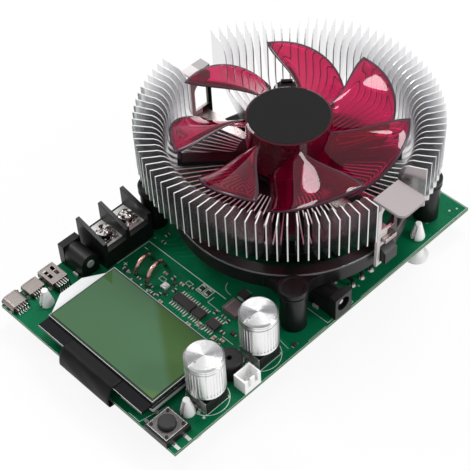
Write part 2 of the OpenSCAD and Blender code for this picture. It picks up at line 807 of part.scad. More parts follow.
module terminal_contacts() {
    contact_u = terminal_lip_t + seat;
    contact_l = terminal_depth - terminal_rear_t - seat - contact_u;
    contact_w = terminal_pocket - 2 * seat;
    hole_d = screw_shank_d + 2 * seat;
    color("silver") for (i = [0, 1]) {
        on_board(contact_u, screw_v(i), terminal_floor) difference() {
            translate([0, -contact_w / 2, 0]) cube([contact_l, contact_w, contact_t]);
            translate([screw_u - contact_u, 0, -over])
                cylinder(d = hole_d, h = contact_t + 2 * over);
        }
    }
}

module terminal_clamps() {
    hole_d = screw_shank_d + 2 * seat;
    color("silver") for (i = [0, 1]) {
        on_board(screw_u, screw_v(i), clamp_low) difference() {
            translate([-clamp_w / 2, -clamp_w / 2, 0]) cube([clamp_w, clamp_w, clamp_t]);
            translate([0, 0, -over]) cylinder(d = hole_d, h = clamp_t + 2 * over);
        }
    }
}

module terminal_screw(i) {
    shank_low = 2;
    recess_w = 0.9;
    recess_t = 1.1;
    recess_l = screw_head_d * 0.7;
    color("silver") on_board(screw_u, screw_v(i)) difference() {
        union() {
            translate([0, 0, shank_low]) cylinder(d = screw_shank_d, h = screw_low - shank_low + over);
            translate([0, 0, screw_low]) cylinder(d = screw_head_d, h = screw_head_h);
        }
        for (a = [0, 90]) {
            translate([0, 0, screw_low + screw_head_h - recess_t]) rotate(a)
                translate([-recess_l / 2, -recess_w / 2, 0]) cube([recess_l, recess_w, recess_t + over]);
        }
    }
}

module front_terminal_screw() { terminal_screw(0); }
module rear_terminal_screw() { terminal_screw(1); }

// display stack

module lcd_pads() {
    pad_w = 6;
    pad_inset = 2;
    pad_len = lcd_back_v - backlight_front_v - pad_inset;
    color("dimgray") for (u = [lcd_left_u + pad_inset, lcd_right_u - pad_inset - pad_w]) {
        on_board(u, backlight_front_v + pad_inset / 2) cube([pad_w, pad_len, lcd_pad_t]);
    }
}

module lcd_backlight() {
    tab_near = 17;
    tab_far = 28;
    color("white") {
        on_board(lcd_left_u, backlight_front_v, lcd_pad_t)
            cube([lcd_w, lcd_back_v - backlight_front_v, backlight_t]);
        on_board(lcd_left_u, 0, rear_glass_z - backlight_tab_t) linear_extrude(backlight_tab_t) polygon([
            [0, backlight_front_v], [-backlight_tab, tab_near], [-backlight_tab, tab_far], [0, lcd_back_v]
        ]);
    }
}

module lcd_rear_glass() {
    color("darkslateblue") on_board(lcd_left_u, lcd_ledge_v, rear_glass_z)
        cube([lcd_w, lcd_back_v - lcd_ledge_v, glass_t]);
}

module lcd_front_glass() {
    color("lightgray") on_board(lcd_left_u, lcd_front_v, front_glass_z)
        cube([lcd_w, lcd_back_v - lcd_front_v, glass_t]);
}

module lcd_film() {
    color("olivedrab") on_board(lcd_left_u + film_inset, lcd_front_v + film_inset, film_z)
        cube([lcd_w - 2 * film_inset, lcd_back_v - lcd_front_v - 2 * film_inset, film_t]);
}

// from the glass ledge over the board's front edge and back under the board
module lcd_ribbon() {
    t = ribbon_t;
    top = front_glass_z;
    end_v = lcd_front_v - 0.5;
    under = -board_t - seat;
    under_v = 6;
    fold_z = 0.9;
    color("black") on_board(lcd_left_u + ribbon_u, 0) along_u(ribbon_w) polygon([
        [end_v, top], [lcd_ledge_v, top], [t - ribbon_reach, fold_z], [t - ribbon_reach, under],
        [under_v, under], [under_v, under - t], [-ribbon_reach, under - t], [-ribbon_reach, fold_z],
        [lcd_ledge_v - t / 2, top + t], [end_v, top + t]
    ]);
}

// the two control knobs with their shafts and bodies

module flatted_shaft(d, flat, height) {
    difference() {
        cylinder(d = d, h = height);
        translate([-d, d / 2 - flat, -over]) cube([2 * d, d, height + 2 * over]);
    }
}

module pot_body(v) {
    bore = shaft_d + 2 * shaft_clear;
    bore_low = shaft_low - seat;
    color("black") on_board(knob_axis_u, v) difference() {
        union() {
            translate([-pot_w / 2, -pot_w / 2, 0]) cube([pot_w, pot_w, pot_h]);
            translate([0, 0, pot_h]) cylinder(d = pot_collar_d, h = pot_collar_h);
        }
        translate([0, 0, bore_low]) cylinder(d = bore, h = pot_h + pot_collar_h);
    }
}

module pot_shaft(v) {
    color("silver") on_board(knob_axis_u, v) {
        translate([0, 0, shaft_low]) cylinder(d = shaft_d, h = knob_low - shaft_low);
        translate([0, 0, knob_low]) flatted_shaft(shaft_d, shaft_flat, shaft_top - knob_low);
    }
}

module knob(v) {
    edge = 0.7;
    line_low = 2.6;
    line_t = 0.5;
    line_depth = 0.35;
    groove_w = 0.55;
    groove_low = 1.2;
    mark_w = 1;
    mark_l = 3.4;
    mark_t = 0.5;
    r = knob_d / 2;
    groove_h = knob_h - groove_low - line_low - line_t - edge;
    color("gainsboro") on_board(knob_axis_u, v, knob_low) difference() {
        rotate_extrude() polygon([
            [0, 0], [r, 0], [r, knob_h - line_low - line_t], [r - line_depth, knob_h - line_low - line_t],
            [r - line_depth, knob_h - line_low], [r, knob_h - line_low], [r, knob_h - edge],
            [r - edge, knob_h], [0, knob_h]
        ]);
        translate([0, 0, -over])
            flatted_shaft(shaft_d + 2 * fit, shaft_flat, knob_h - knob_top_t + over);
        for (i = [0 : knob_grooves - 1]) {
            rotate(i * 360 / knob_grooves) translate([r - knob_groove_t, -groove_w / 2, groove_low])
                cube([knob_groove_t + over, groove_w, groove_h]);
        }
        translate([-mark_w / 2, -r - over, knob_h - mark_t]) cube([mark_w, mark_l + over, mark_t + over]);
    }
}

module front_pot_body() { pot_body(front_knob_v); }
module front_pot_shaft() { pot_shaft(front_knob_v); }
module front_knob() { knob(front_knob_v); }
module rear_pot_body() { pot_body(rear_knob_v); }
module rear_pot_shaft() { pot_shaft(rear_knob_v); }
module rear_knob() { knob(rear_knob_v); }

// push switch at the front right corner

module switch_base() {
    color("black") on_board(switch_left_u, -switch_over) difference() {
        cube([switch_w, switch_w, switch_h]);
        translate([switch_w / 2, switch_w / 2, dome_low]) cylinder(d = well_d, h = switch_h);
    }
}

module switch_leads() {
    lead_w = 1;
    lead_out = 0.9;
    lead_t = 0.4;
    lead_half = 2.5;
    color("silver") for (side = [0, 1], v = [-lead_half, lead_half]) {
        on_board(switch_left_u + side * (switch_w + lead_out) - lead_out, switch_axis_v + v - lead_w / 2)
            cube([lead_out, lead_w, lead_t]);
    }
}

module switch_dome() {
    color("silver") on_board(switch_axis_u, switch_axis_v, dome_low)
        cylinder(d = flange_d - 0.4, h = dome_t);
}

module switch_cover() {
    rivet_d = 1.3;
    rivet_h = 0.3;
    rivet_at = switch_cover_w / 2 - 1.2;
    color("silver") on_board(switch_axis_u, switch_axis_v, switch_h) {
        difference() {
            translate([-switch_cover_w / 2, -switch_cover_w / 2, 0])
                cube([switch_cover_w, switch_cover_w, switch_cover_t]);
            translate([0, 0, -over])
                cylinder(d = button_d + 2 * button_clear, h = switch_cover_t + 2 * over);
        }
        for (x = [-1, 1], y = [-1, 1]) {
            translate([x * rivet_at, y * rivet_at, switch_cover_t]) cylinder(d = rivet_d, h = rivet_h);
        }
    }
}

module switch_button() {
    edge = 0.4;
    r = button_d / 2;
    color("black") on_board(switch_axis_u, switch_axis_v) rotate_extrude() polygon([
        [0, flange_low], [flange_d / 2, flange_low], [flange_d / 2, flange_low + button_flange_t],
        [r, flange_low + button_flange_t], [r, button_top - edge], [r - edge, button_top], [0, button_top]
    ]);
}

// sounder and lead header beside the knobs

module buzzer() {
    hole_depth = 3;
    edge = 0.5;
    r = buzzer_d / 2;
    color("black") on_board(board_w - buzzer_u, buzzer_v) rotate_extrude() polygon([
        [0, 0], [r, 0], [r, buzzer_h - edge], [r - edge, buzzer_h], [buzzer_hole_d / 2, buzzer_h],
        [buzzer_hole_d / 2, buzzer_h - hole_depth], [0, buzzer_h - hole_depth]
    ]);
}

module header_shell() {
    key_w = 1.4;
    pin_gap = header_pin_w + 2 * fit;
    color("white") difference() {
        on_board(header_left_u, header_v) cube([header_d, header_w, header_h]);
        on_board(header_left_u + header_wall, header_v + header_wall, header_floor)
            cube([header_d - 2 * header_wall, header_w - 2 * header_wall, header_h]);
        for (v = [header_v + 1.6, header_v + header_w - 1.6 - key_w]) {
            on_board(header_left_u + header_d - header_wall - over, v, header_floor + over)
                cube([header_wall + 2 * over, key_w, header_h]);
        }
        for (i = [0, 1]) {
            on_board(header_left_u + header_d / 2 - pin_gap / 2, header_pin_v(i) - pin_gap / 2, -over)
                cube([pin_gap, pin_gap, header_h]);
        }
    }
}

module header_pins() {
    pin_top = header_h - 1.4;
    color("silver") for (i = [0, 1]) {
        on_board(header_left_u + header_d / 2 - header_pin_w / 2, header_pin_v(i) - header_pin_w / 2)
            cube([header_pin_w, header_pin_w, pin_top]);
    }
}

// small parts on the board between the display and the cooler

// a wire arch that stands on the board
module shunt(at, span, turn) {
    on_board(at[0], at[1]) rotate([90, 0, turn]) rotate_extrude(angle = 180)
        translate([(span - shunt_d) / 2, 0]) circle(d = shunt_d, $fn = 32);
}

module current_shunts() {
    color("peru") {
        shunt(shunt_near_at, shunt_span_near, shunt_near_turn);
        shunt(shunt_far_at, shunt_span_far, shunt_far_turn);
    }
}

module chip_bodies() {
    color("black") for (c = chips) {
        on_board(c[0] - chip_pitch / 2, chip_row_v + chip_reach, chip_gap)
            cube([c[1] * chip_pitch, chip_w, chip_h]);
    }
}

// one lead, bent down from the middle of the body to the board
module chip_lead() {
    w = 0.42;
    t = 0.2;
    middle = chip_gap + chip_h / 2;
    knee = chip_reach * 0.45;
    translate([-w / 2, chip_w / 2, 0]) along_u(w) polygon([
        [0, middle], [knee + t, middle], [knee + t, t], [chip_reach, t], [chip_reach, 0],
        [knee, 0], [knee, middle - t], [0, middle - t]
    ]);
}

module chip_leads() {
    color("silver") for (c = chips, i = [0 : c[1] - 1], turn = [0, 180]) {
        on_board(c[0] + i * chip_pitch, chip_mid_v) rotate(turn) chip_lead();
    }
}

module power_diode() {
    w = 7.6;
    l = 6.4;
    h = 2.4;
    strap_w = 3;
    strap_out = 1;
    strap_t = 0.4;
    color("gray") on_board(diode_at[0], diode_at[1]) {
        translate([-w / 2, -l / 2, 0]) cube([w, l, h]);
        translate([-w / 2 - strap_out, -strap_w / 2, 0]) cube([w + 2 * strap_out, strap_w, strap_t]);
    }
}

module small_parts() {
    color("tan") for (p = small_part_list) {
        on_board(p[0] - p[2] / 2, p[1] - p[3] / 2) cube([p[2], p[3], p[4]]);
    }
}

// load transistor flat under the cooler, with its leads bent down into the board

module transistor_body() {
    color("dimgray") on_board(transistor_right_u - transistor_l, transistor_mid_v - transistor_w / 2)
        cube([transistor_l, transistor_w, transistor_t]);
}

module transistor_leads() {
    tip = 1.4;
    color("silver") for (i = [-1 : 1]) {
        on_board(transistor_right_u, lead_v(i) - lead_w / 2, lead_z)
            cube([lead_hole_u + lead_t / 2 - transistor_right_u, lead_w, lead_t]);
        on_board(lead_hole_u - lead_t / 2, lead_v(i) - lead_w / 2, -board_t - tip)
            cube([lead_t, lead_w, lead_z + board_t + tip]);
    }
}

module thermal_pad() {
    color("lightgray")
        on_board(transistor_right_u - transistor_l, transistor_mid_v - transistor_w / 2, transistor_t)
            cube([transistor_l, transistor_w, pad_t]);
}

module solder_joints() {
    bead_r = 1.4;
    bead_h = 0.9;
    neck_r = 0.85;
    color("silver") for (i = [-1 : 1]) {
        on_board(lead_hole_u, lead_v(i)) difference() {
            rotate_extrude() polygon([[0, 0], [bead_r, 0], [neck_r, bead_h], [0, bead_h]]);
            translate([-lead_t / 2 - fit, -lead_w / 2 - fit, -over])
                cube([lead_t + 2 * fit, lead_w + 2 * fit, bead_h + 2 * over]);
        }
    }
}

// plastic ring that holds the cooler down, on four posts

// web between the ring and one post, hollowed by a round fillet that leaves a small edge on each side
module post_web() {
    fillet_edge = 0.15;
    a = ring_r + ring_fillet;
    b = post_r + ring_fillet;
    x = (a * a - b * b + post_far * post_far) / (2 * post_far);
    y = sqrt(a * a - x * x);
    difference() {
        polygon([[0, 0], [x, y], [post_far, 0], [x, -y]]);
        for (side = [1, -1]) {
            translate([x, side * y]) circle(r = ring_fillet - fillet_edge);
        }
    }
}

module cooler_bracket() {
    web_drop = 0.4;
    lug_out = plate_t + 2.6;
    lug_slope = 3;
    lug_low = lug_window_low + lug_clear;
    color([0.08, 0.08, 0.09]) {
        difference() {
            union() {
                on_axis(ring_low) cylinder(r = ring_r, h = ring_top - ring_low);
                for (a = [45 : 90 : 315]) {
                    on_axis(ring_low) rotate(a) linear_extrude(post_h - web_drop - ring_low) post_web();
                }
                for (p = post_places) on_axis() translate(p) cylinder(r = post_r, h = post_h);
                for (turn = [0, 180]) {
                    on_axis() rotate(turn) translate([ring_r - over, lug_w / 2, 0]) rotate([90, 0, 0])
                        linear_extrude(lug_w) polygon([
                            [0, lug_low], [plate_r - ring_r + over + lug_out, lug_low],
                            [plate_r - ring_r + over + lug_out, lug_low + lug_h - lug_slope],
                            [plate_r - ring_r + over, lug_low + lug_h], [0, lug_low + lug_h]
                        ]);
                }
            }
            on_axis() cylinder(r = ring_bore_r, h = ring_top + over);
            for (p = post_places) {
                on_axis(-over) translate(p) cylinder(d = push_pin_hole_d, h = post_h + 2 * over);
            }
        }
    }
}

module push_pins() {
    dish_r = cap_r - 1.3;
    dish_t = 0.7;
    cap_low = post_h;
    groove_low = cap_low + 0.8;
    groove_h = 0.5;
    groove_t = 0.6;
    pin_low = -board_t - push_pin_tip;
    tip_r = push_pin_d / 2 - 0.6;
    tip_h = 1;
    color([0.1, 0.1, 0.11]) for (p = post_places) {
        on_axis() translate(p) rotate_extrude() polygon([
            [0, pin_low], [tip_r, pin_low], [push_pin_d / 2, pin_low + tip_h], [push_pin_d / 2, cap_low],
            [cap_r, cap_low], [cap_r, groove_low], [cap_r - groove_t, groove_low],
            [cap_r - groove_t, groove_low + groove_h], [cap_r, groove_low + groove_h],
            [cap_r, cap_low + cap_h], [dish_r, cap_low + cap_h], [dish_r, cap_low + cap_h - dish_t],
            [0, cap_low + cap_h - dish_t]
        ]);
    }
}

// aluminium cooler: a core with a base, and thin fins that open into a bowl around the fan

module heatsink_core() {
    color("silver") difference() {
        on_axis() rotate_extrude() polygon([
            [0, core_low], [base_r, core_low], [base_r, core_low + base_t], [core_r, core_low + base_t],
            [core_r, core_top], [0, core_top]
        ]);
        on_axis(bar_low) translate([-core_r - over, -slot_w / 2, 0])
            cube([2 * (core_r + over), slot_w, core_top]);
    }
}

// the lower edge climbs from the core to the rim, the top falls to a round lip over the fan's bowl
module fin_profile() {
    inner_r = core_r + fin_seat;
    steps = 6;
    climb = 1.5;
    lip_low = fin_shoulder - fin_slope_drop - fin_lip_h;
    lower = [for (i = [0 : steps]) [
        inner_r + (fin_r - inner_r) * i / steps,
        fin_root + (fin_low - fin_root) * pow(i / steps, climb)
    ]];
    lip = [for (a = [0 : 18 : 90]) [
        fin_bowl_r + fin_lip_w * (1 - cos(90 - a)), lip_low + fin_lip_h * sin(90 - a)
    ]];
    turn = [for (a = [0 : 18 : 90]) [
        fin_bowl_r - fin_turn_r * (1 - cos(a)), fin_floor + fin_turn_r * (1 - sin(a))
    ]];
    polygon(concat(lower, [[fin_r, fin_shoulder]], lip, turn, [[inner_r, fin_floor]]));
}

module heatsink_fins() {
    color("gainsboro") for (a = fin_angles) {
        on_axis() rotate(a) translate([0, fin_t / 2, 0]) rotate([90, 0, 0])
            linear_extrude(fin_t) fin_profile();
    }
}

// spring clip: a bar across the core, a hook plate at each end and a lever on the right one

module clip_bar() {
    color("silver") on_axis(bar_low) translate([-bar_reach, -bar_w / 2, 0])
        cube([2 * bar_reach, bar_w, bar_t]);
}

module plate_window(low, top, width) {
    translate([-over, -width / 2, low]) cube([plate_t + 2 * over, width, top - low]);
}

module hook_plate(top) {
    view_top = pivot_z - knuckle_r - arch_gap;
    difference() {
        translate([0, -plate_w / 2, plate_low]) cube([plate_t, plate_w, top - plate_low]);
        plate_window(lug_window_low, lug_window_low + lug_h + 2 * lug_clear, lug_w + 2 * lug_clear);
        plate_window(bar_window_low, bar_window_top, bar_w + 2 * bar_clear);
        plate_window(view_window_low, view_top, view_window_w);
        translate([-over, 0, view_top]) rotate([0, 90, 0])
            cylinder(d = view_window_w, h = plate_t + 2 * over);
    }
}

module knuckle() {
    translate([plate_t / 2, plate_w / 2, pivot_z]) rotate([90, 0, 0]) cylinder(r = knuckle_r, h = plate_w);
}

module hook_plates() {
    far_top = lever_pad_z;
    color("silver") {
        on_axis() translate([plate_r, 0, 0]) difference() {
            union() {
                hook_plate(pivot_z);
                knuckle();
            }
            translate([plate_t / 2, plate_w, pivot_z]) rotate([90, 0, 0])
                cylinder(d = pivot_d + 2 * fit, h = 2 * plate_w);
        }
        on_axis() rotate(180) translate([plate_r, 0, 0]) {
            hook_plate(far_top);
            translate([0, -plate_w / 2, far_top]) cube([plate_t + far_tab_l, plate_w, plate_t]);
        }
    }
}

module lever_pin() {
    head = 0.6;
    pin_l = lever_w + 2 * head;
    color("silver") on_axis(pivot_z) translate([pivot_r, pin_l / 2, 0]) rotate([90, 0, 0])
        cylinder(d = pivot_d, h = pin_l);
}

module clip_lever() {
    cheek_r = pivot_d / 2 + 1.2;
    pivot_gap = 0.06;
    c = pad_corner;
    color("lightgray") on_axis() translate([pivot_r, 0, 0]) difference() {
        union() {
            translate([-pad_in, -lever_w / 2, lever_pad_z]) {
                cube([pad_l - c, lever_w, lever_t]);
                translate([pad_l - c - over, c, 0]) cube([c + over, lever_w - 2 * c, lever_t]);
                for (y = [c, lever_w - c]) translate([pad_l - c, y, 0]) cylinder(r = c, h = lever_t);
            }
            for (y = [-lever_w / 2, lever_w / 2 - lever_t]) {
                translate([0, y + lever_t, pivot_z]) rotate([90, 0, 0]) cylinder(r = cheek_r, h = lever_t);
                translate([-pad_in, y, pivot_z])
                    cube([pad_in + cheek_r, lever_t, lever_pad_z - pivot_z + seat]);
            }
        }
        translate([0, lever_w, pivot_z]) rotate([90, 0, 0])
            cylinder(d = pivot_d + 2 * pivot_gap, h = 2 * lever_w);
    }
}

// fan: arms and motor on top of the core, and the rotor that turns inside the fin bowl

module fan_frame() {
    disc_r = hub_r - 0.4;
    arm_end_r = fin_bowl_r - fin_turn_r - 2 * seat;
    arm_tab_t = 1.6;
    arm_tab_h = fan_base_t + 1.2;
    color([0.06, 0.06, 0.07]) difference() {
        on_axis(core_top) union() {
            cylinder(r = disc_r, h = fan_base_t);
            cylinder(r = tube_r, h = tube_top - core_top);
            for (a = [45 : 90 : 315]) {
                rotate(a) translate([0, -fan_arm_w / 2, 0]) cube([arm_end_r, fan_arm_w, fan_base_t]);
                rotate(a) translate([arm_end_r - arm_tab_t, -fan_arm_w / 2, 0])
                    cube([arm_tab_t, fan_arm_w, arm_tab_h]);
            }
        }
        on_axis(shaft_end - seat) cylinder(r = bearing_r, h = tube_top);
    }
}

module fan_stator() {
    coil_h = (hub_top - hub_low) * 0.47;
    slots = 4;
    slot_gap = 1.6;
    color("chocolate") on_axis(fan_base_top + seat) difference() {
        ring(stator_r, tube_r + seat, coil_h);
        for (i = [0 : slots - 1]) {
            rotate(45 + i * 360 / slots) translate([stator_r / 2 + 2, -slot_gap / 2, -over])
                cube([stator_r, slot_gap, coil_h + 2 * over]);
        }
    }
}

module fan_shaft() {
    color("silver") on_axis(shaft_end) cylinder(d = fan_shaft_d, h = hub_top - hub_wall - shaft_end - seat);
}

module rotor_magnet() {
    magnet_h = (hub_top - hub_low) * 0.58;
    color("darkgray") on_axis(hub_low + over) ring(magnet_out_r, stator_r + magnet_gap, magnet_h);
}

module fan_hub() {
    rim = 0.8;
    face_t = 0.4;
    color([0.55, 0.02, 0.12]) {
        on_axis() rotate_extrude() polygon([
            [0, hub_top - hub_wall], [hub_r - hub_wall, hub_top - hub_wall], [hub_r - hub_wall, hub_low],
            [hub_r, hub_low], [hub_r, hub_top - face_t], [hub_r - rim, hub_top], [0, hub_top]
        ]);
        on_axis(boss_low) ring(boss_r, fan_shaft_d / 2 + fit, hub_top - hub_wall - boss_low);
    }
}

module blade() {
    n = 8;
    m = 9;
    function at(i, j, side) = side * n * m + i * m + j;
    points = [for (side = [0, 1], i = [0 : n - 1], j = [0 : m - 1])
        blade_point(i / (n - 1), j / (m - 1), side)];
    top = [for (i = [0 : n - 2], j = [0 : m - 2], h = [0, 1]) h == 0
        ? [at(i, j, 0), at(i, j + 1, 0), at(i + 1, j, 0)]
        : [at(i, j + 1, 0), at(i + 1, j + 1, 0), at(i + 1, j, 0)]];
    bottom = [for (i = [0 : n - 2], j = [0 : m - 2], h = [0, 1]) h == 0
        ? [at(i, j, 1), at(i + 1, j, 1), at(i, j + 1, 1)]
        : [at(i, j + 1, 1), at(i + 1, j, 1), at(i + 1, j + 1, 1)]];
    lead = [for (i = [0 : n - 2], h = [0, 1]) h == 0
        ? [at(i, 0, 0), at(i + 1, 0, 0), at(i, 0, 1)]
        : [at(i + 1, 0, 0), at(i + 1, 0, 1), at(i, 0, 1)]];
    trail = [for (i = [0 : n - 2], h = [0, 1]) h == 0
        ? [at(i, m - 1, 0), at(i, m - 1, 1), at(i + 1, m - 1, 0)]
        : [at(i + 1, m - 1, 0), at(i, m - 1, 1), at(i + 1, m - 1, 1)]];
    root = [for (j = [0 : m - 2], h = [0, 1]) h == 0
        ? [at(0, j, 0), at(0, j, 1), at(0, j + 1, 0)]
        : [at(0, j + 1, 0), at(0, j, 1), at(0, j + 1, 1)]];
    tip = [for (j = [0 : m - 2], h = [0, 1]) h == 0
        ? [at(n - 1, j, 0), at(n - 1, j + 1, 0), at(n - 1, j, 1)]
        : [at(n - 1, j + 1, 0), at(n - 1, j + 1, 1), at(n - 1, j, 1)]];
    polyhedron(points, concat(top, bottom, lead, trail, root, tip));
}

module fan_blades() {
    color([0.6, 0.02, 0.14]) for (i = [0 : blade_count - 1]) {
        on_axis() rotate(i * 360 / blade_count) blade();
    }
}

circuit_board();
standoffs();
flat_port_shell();
flat_port_tongue();
small_port_shell();
small_port_tongue();
tall_port_shell();
tall_port_tongue();
load_jack_body();
load_jack_pin();
supply_jack_body();
supply_jack_pin();
terminal_block_body();
terminal_contacts();
terminal_clamps();
front_terminal_screw();
rear_terminal_screw();
lcd_pads();
lcd_backlight();
lcd_rear_glass();
lcd_front_glass();
lcd_film();
lcd_ribbon();
front_pot_body();
front_pot_shaft();
front_knob();
rear_pot_body();
rear_pot_shaft();
rear_knob();
switch_base();
switch_leads();
switch_dome();
switch_cover();
switch_button();
buzzer();
header_shell();
header_pins();
current_shunts();
chip_bodies();
chip_leads();
power_diode();
small_parts();
solder_joints();
transistor_body();
transistor_leads();
thermal_pad();
cooler_bracket();
push_pins();
heatsink_core();
heatsink_fins();
clip_bar();
hook_plates();
lever_pin();
clip_lever();
fan_frame();
fan_stator();
fan_shaft();
rotor_magnet();
fan_hub();
fan_blades();
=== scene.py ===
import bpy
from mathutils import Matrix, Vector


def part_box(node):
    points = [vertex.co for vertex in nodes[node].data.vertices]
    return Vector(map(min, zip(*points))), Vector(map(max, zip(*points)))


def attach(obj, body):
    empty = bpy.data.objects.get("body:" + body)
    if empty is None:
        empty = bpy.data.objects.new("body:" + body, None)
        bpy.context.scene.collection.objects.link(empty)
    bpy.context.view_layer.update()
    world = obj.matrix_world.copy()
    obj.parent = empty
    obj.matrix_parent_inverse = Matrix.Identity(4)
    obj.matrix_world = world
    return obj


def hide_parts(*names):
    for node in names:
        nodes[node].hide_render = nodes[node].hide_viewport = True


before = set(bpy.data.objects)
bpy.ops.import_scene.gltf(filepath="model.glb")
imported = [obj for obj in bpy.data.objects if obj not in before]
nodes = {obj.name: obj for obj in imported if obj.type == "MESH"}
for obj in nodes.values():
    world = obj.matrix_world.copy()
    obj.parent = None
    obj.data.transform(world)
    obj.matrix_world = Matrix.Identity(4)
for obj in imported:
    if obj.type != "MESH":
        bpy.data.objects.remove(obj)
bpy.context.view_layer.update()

import random
from math import cos, hypot, pi, radians, sin

import bmesh
import bpy
from mathutils import Matrix, Vector

mm = 0.001
scene = bpy.context.scene


# a node's output that takes part in sums
class Wire:
    def __init__(self, paint, socket):
        self.paint = paint
        self.socket = socket

    def math(self, operation, first, second=0.0):
        return self.paint.node("ShaderNodeMath", {"operation": operation}, {0: first, 1: second})

    def __add__(self, other):
        return self.math("ADD", self, other)

    def __radd__(self, other):
        return self.math("ADD", other, self)

    def __sub__(self, other):
        return self.math("SUBTRACT", self, other)

    def __rsub__(self, other):
        return self.math("SUBTRACT", other, self)

    def __mul__(self, other):
        return self.math("MULTIPLY", self, other)

    def __rmul__(self, other):
        return self.math("MULTIPLY", other, self)

    def __truediv__(self, other):
        return self.math("DIVIDE", self, other)

    def __rtruediv__(self, other):
        return self.math("DIVIDE", other, self)

    def __pow__(self, other):
        return self.math("POWER", self, other)

    def __rpow__(self, other):
        return self.math("POWER", other, self)

    def __gt__(self, other):
        return self.math("GREATER_THAN", self, other)

    def __lt__(self, other):
        return self.math("LESS_THAN", self, other)

    def __abs__(self):
        return self.math("ABSOLUTE", self)

    def sine(self):
        return self.math("SINE", self)


# one material and the nodes behind it
class Paint:
    def __init__(self, name):
        self.material = bpy.data.materials.new(name)
        self.material.use_nodes = True
        self.tree = self.material.node_tree
        self.shader = self.tree.nodes["Principled BSDF"]

    def feed(self, socket, value):
        if isinstance(value, Wire):
            self.tree.links.new(value.socket, socket)
        elif socket.type == "RGBA" and len(value) == 3:
            socket.default_value = (*value, 1)
        else:
            socket.default_value = value

    def node(self, kind, settings, sockets, out=0):
        made = self.tree.nodes.new(kind)
        for name, value in settings.items():
            setattr(made, name, value)
        for name, value in sockets.items():
            self.feed(made.inputs[name], value)
        return Wire(self, made.outputs[out])

    def place(self):
        return self.node("ShaderNodeTexCoord", {}, {}, "Object")

    def axes(self, place):
        return [self.node("ShaderNodeSeparateXYZ", {}, {0: place}, axis) for axis in "XYZ"]

    def normal(self):
        return self.axes(self.node("ShaderNodeNewGeometry", {}, {}, "Normal"))

    def stretch(self, place, scale):
        return self.node("ShaderNodeVectorMath", {"operation": "MULTIPLY"}, {0: place, 1: scale})

    def noise(self, place, scale, detail=2.0):
        return self.node("ShaderNodeTexNoise", {}, {"Vector": place, "Scale": scale, "Detail": detail})

    def streaks(self, place, along):
        # marks of rolling, longest where the stretch is least
        return self.noise(self.stretch(place, along), 1400, 3)

    def step(self, value, low, high):
        return self.node("ShaderNodeMapRange", {"interpolation_type": "SMOOTHSTEP"}, {
            "Value": value, "From Min": low, "From Max": high})

    def mix(self, share, first, second):
        # inputs 6 and 7 and output 2 of this node are its colours
        return self.node("ShaderNodeMix", {"data_type": "RGBA"}, {0: share, 6: first, 7: second}, 2)

    def bump(self, height, depth, strength=1.0):
        return self.node("ShaderNodeBump", {}, {
            "Height": height, "Distance": depth, "Strength": strength})

    def rays(self, *kinds):
        # one for a ray of any of these kinds, else zero
        total = 0.0
        for kind in kinds:
            total = self.node("ShaderNodeLightPath", {}, {}, kind) + total
        return total.math("MINIMUM", total, 1.0)

    def finish(self, **sockets):
        for name, value in sockets.items():
            self.feed(self.shader.inputs[name.replace("_", " ")], value)
        return self.material


# the same for the world
class Surround(Paint):
    def __init__(self, world):
        self.material = world
        world.use_nodes = True
        self.tree = world.node_tree
        self.shader = self.tree.nodes["Background"]


def lin(*levels):
    # levels from 0 to 255, as a colour looks, to linear light
    shares = [level / 255 for level in levels]
    return tuple(c / 12.92 if c < 0.0404 else ((c + 0.055) / 1.055) ** 2.4 for c in shares)


# board places in millimetres: u from the left edge, v from the front edge, z from the top face
boardLow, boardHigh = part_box("circuit_board")
boardWide = (boardHigh.x - boardLow.x) / mm
boardLong = (boardHigh.y - boardLow.y) / mm


def onBoard(u, v, z=0.0):
    return Vector((boardLow.x + u * mm, boardLow.y + v * mm, boardHigh.z + z * mm))


def toBoard(spot):
    return (spot.x - boardLow.x) / mm, (spot.y - boardLow.y) / mm, (spot.z - boardHigh.z) / mm


def boardBox(name):
    return [toBoard(corner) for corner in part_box(name)]


def boardPlace(name):
    low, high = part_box(name)
    return toBoard((low + high) / 2)[:2]


hubLow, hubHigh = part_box("fan_hub")
fanAt = (hubLow + hubHigh) / 2


# camera as the photograph has it: angles in degrees, distances in millimetres
cameraValues = {
    "lens": 101.146, "sensor": 36, "turn": 47.79, "rise": 47.31, "roll": -3.46,
    "aim": (40.74, 89.54), "away": 541.84, "near": 10,
}


def placeCamera():
    turn, rise, roll = (radians(cameraValues[angle]) for angle in ("turn", "rise", "roll"))
    back = Vector((sin(turn) * cos(rise), -cos(turn) * cos(rise), sin(rise)))
    right = Vector((cos(turn), sin(turn), 0))
    up = back.cross(right)
    right, up = right * cos(roll) + up * sin(roll), up * cos(roll) - right * sin(roll)
    camera = bpy.data.objects.new("photoCamera", bpy.data.cameras.new("photoCamera"))
    camera.data.lens = cameraValues["lens"]
    camera.data.sensor_width = cameraValues["sensor"]
    camera.data.clip_start = cameraValues["near"] * mm
    spot = onBoard(*cameraValues["aim"]) + back * cameraValues["away"] * mm
    camera.matrix_world = Matrix.Translation(spot) @ Matrix((right, up, back)).transposed().to_4x4()
    scene.collection.objects.link(camera)
    scene.camera = camera


# round soft boxes: place, width and power in metres and watts
lightValues = {
    "skyBox": {"at": (-0.08, 0.42, 1.0), "size": 0.4, "power": 5.0},
    "sideBox": {"at": (0.8, 0.5, 0.7), "size": 0.36, "power": 4.0},
    "leftBox": {"at": (-0.85, -0.1, 0.8), "size": 0.4, "power": 4.0},
}
lightAim = Vector((0, 0, 0.04))


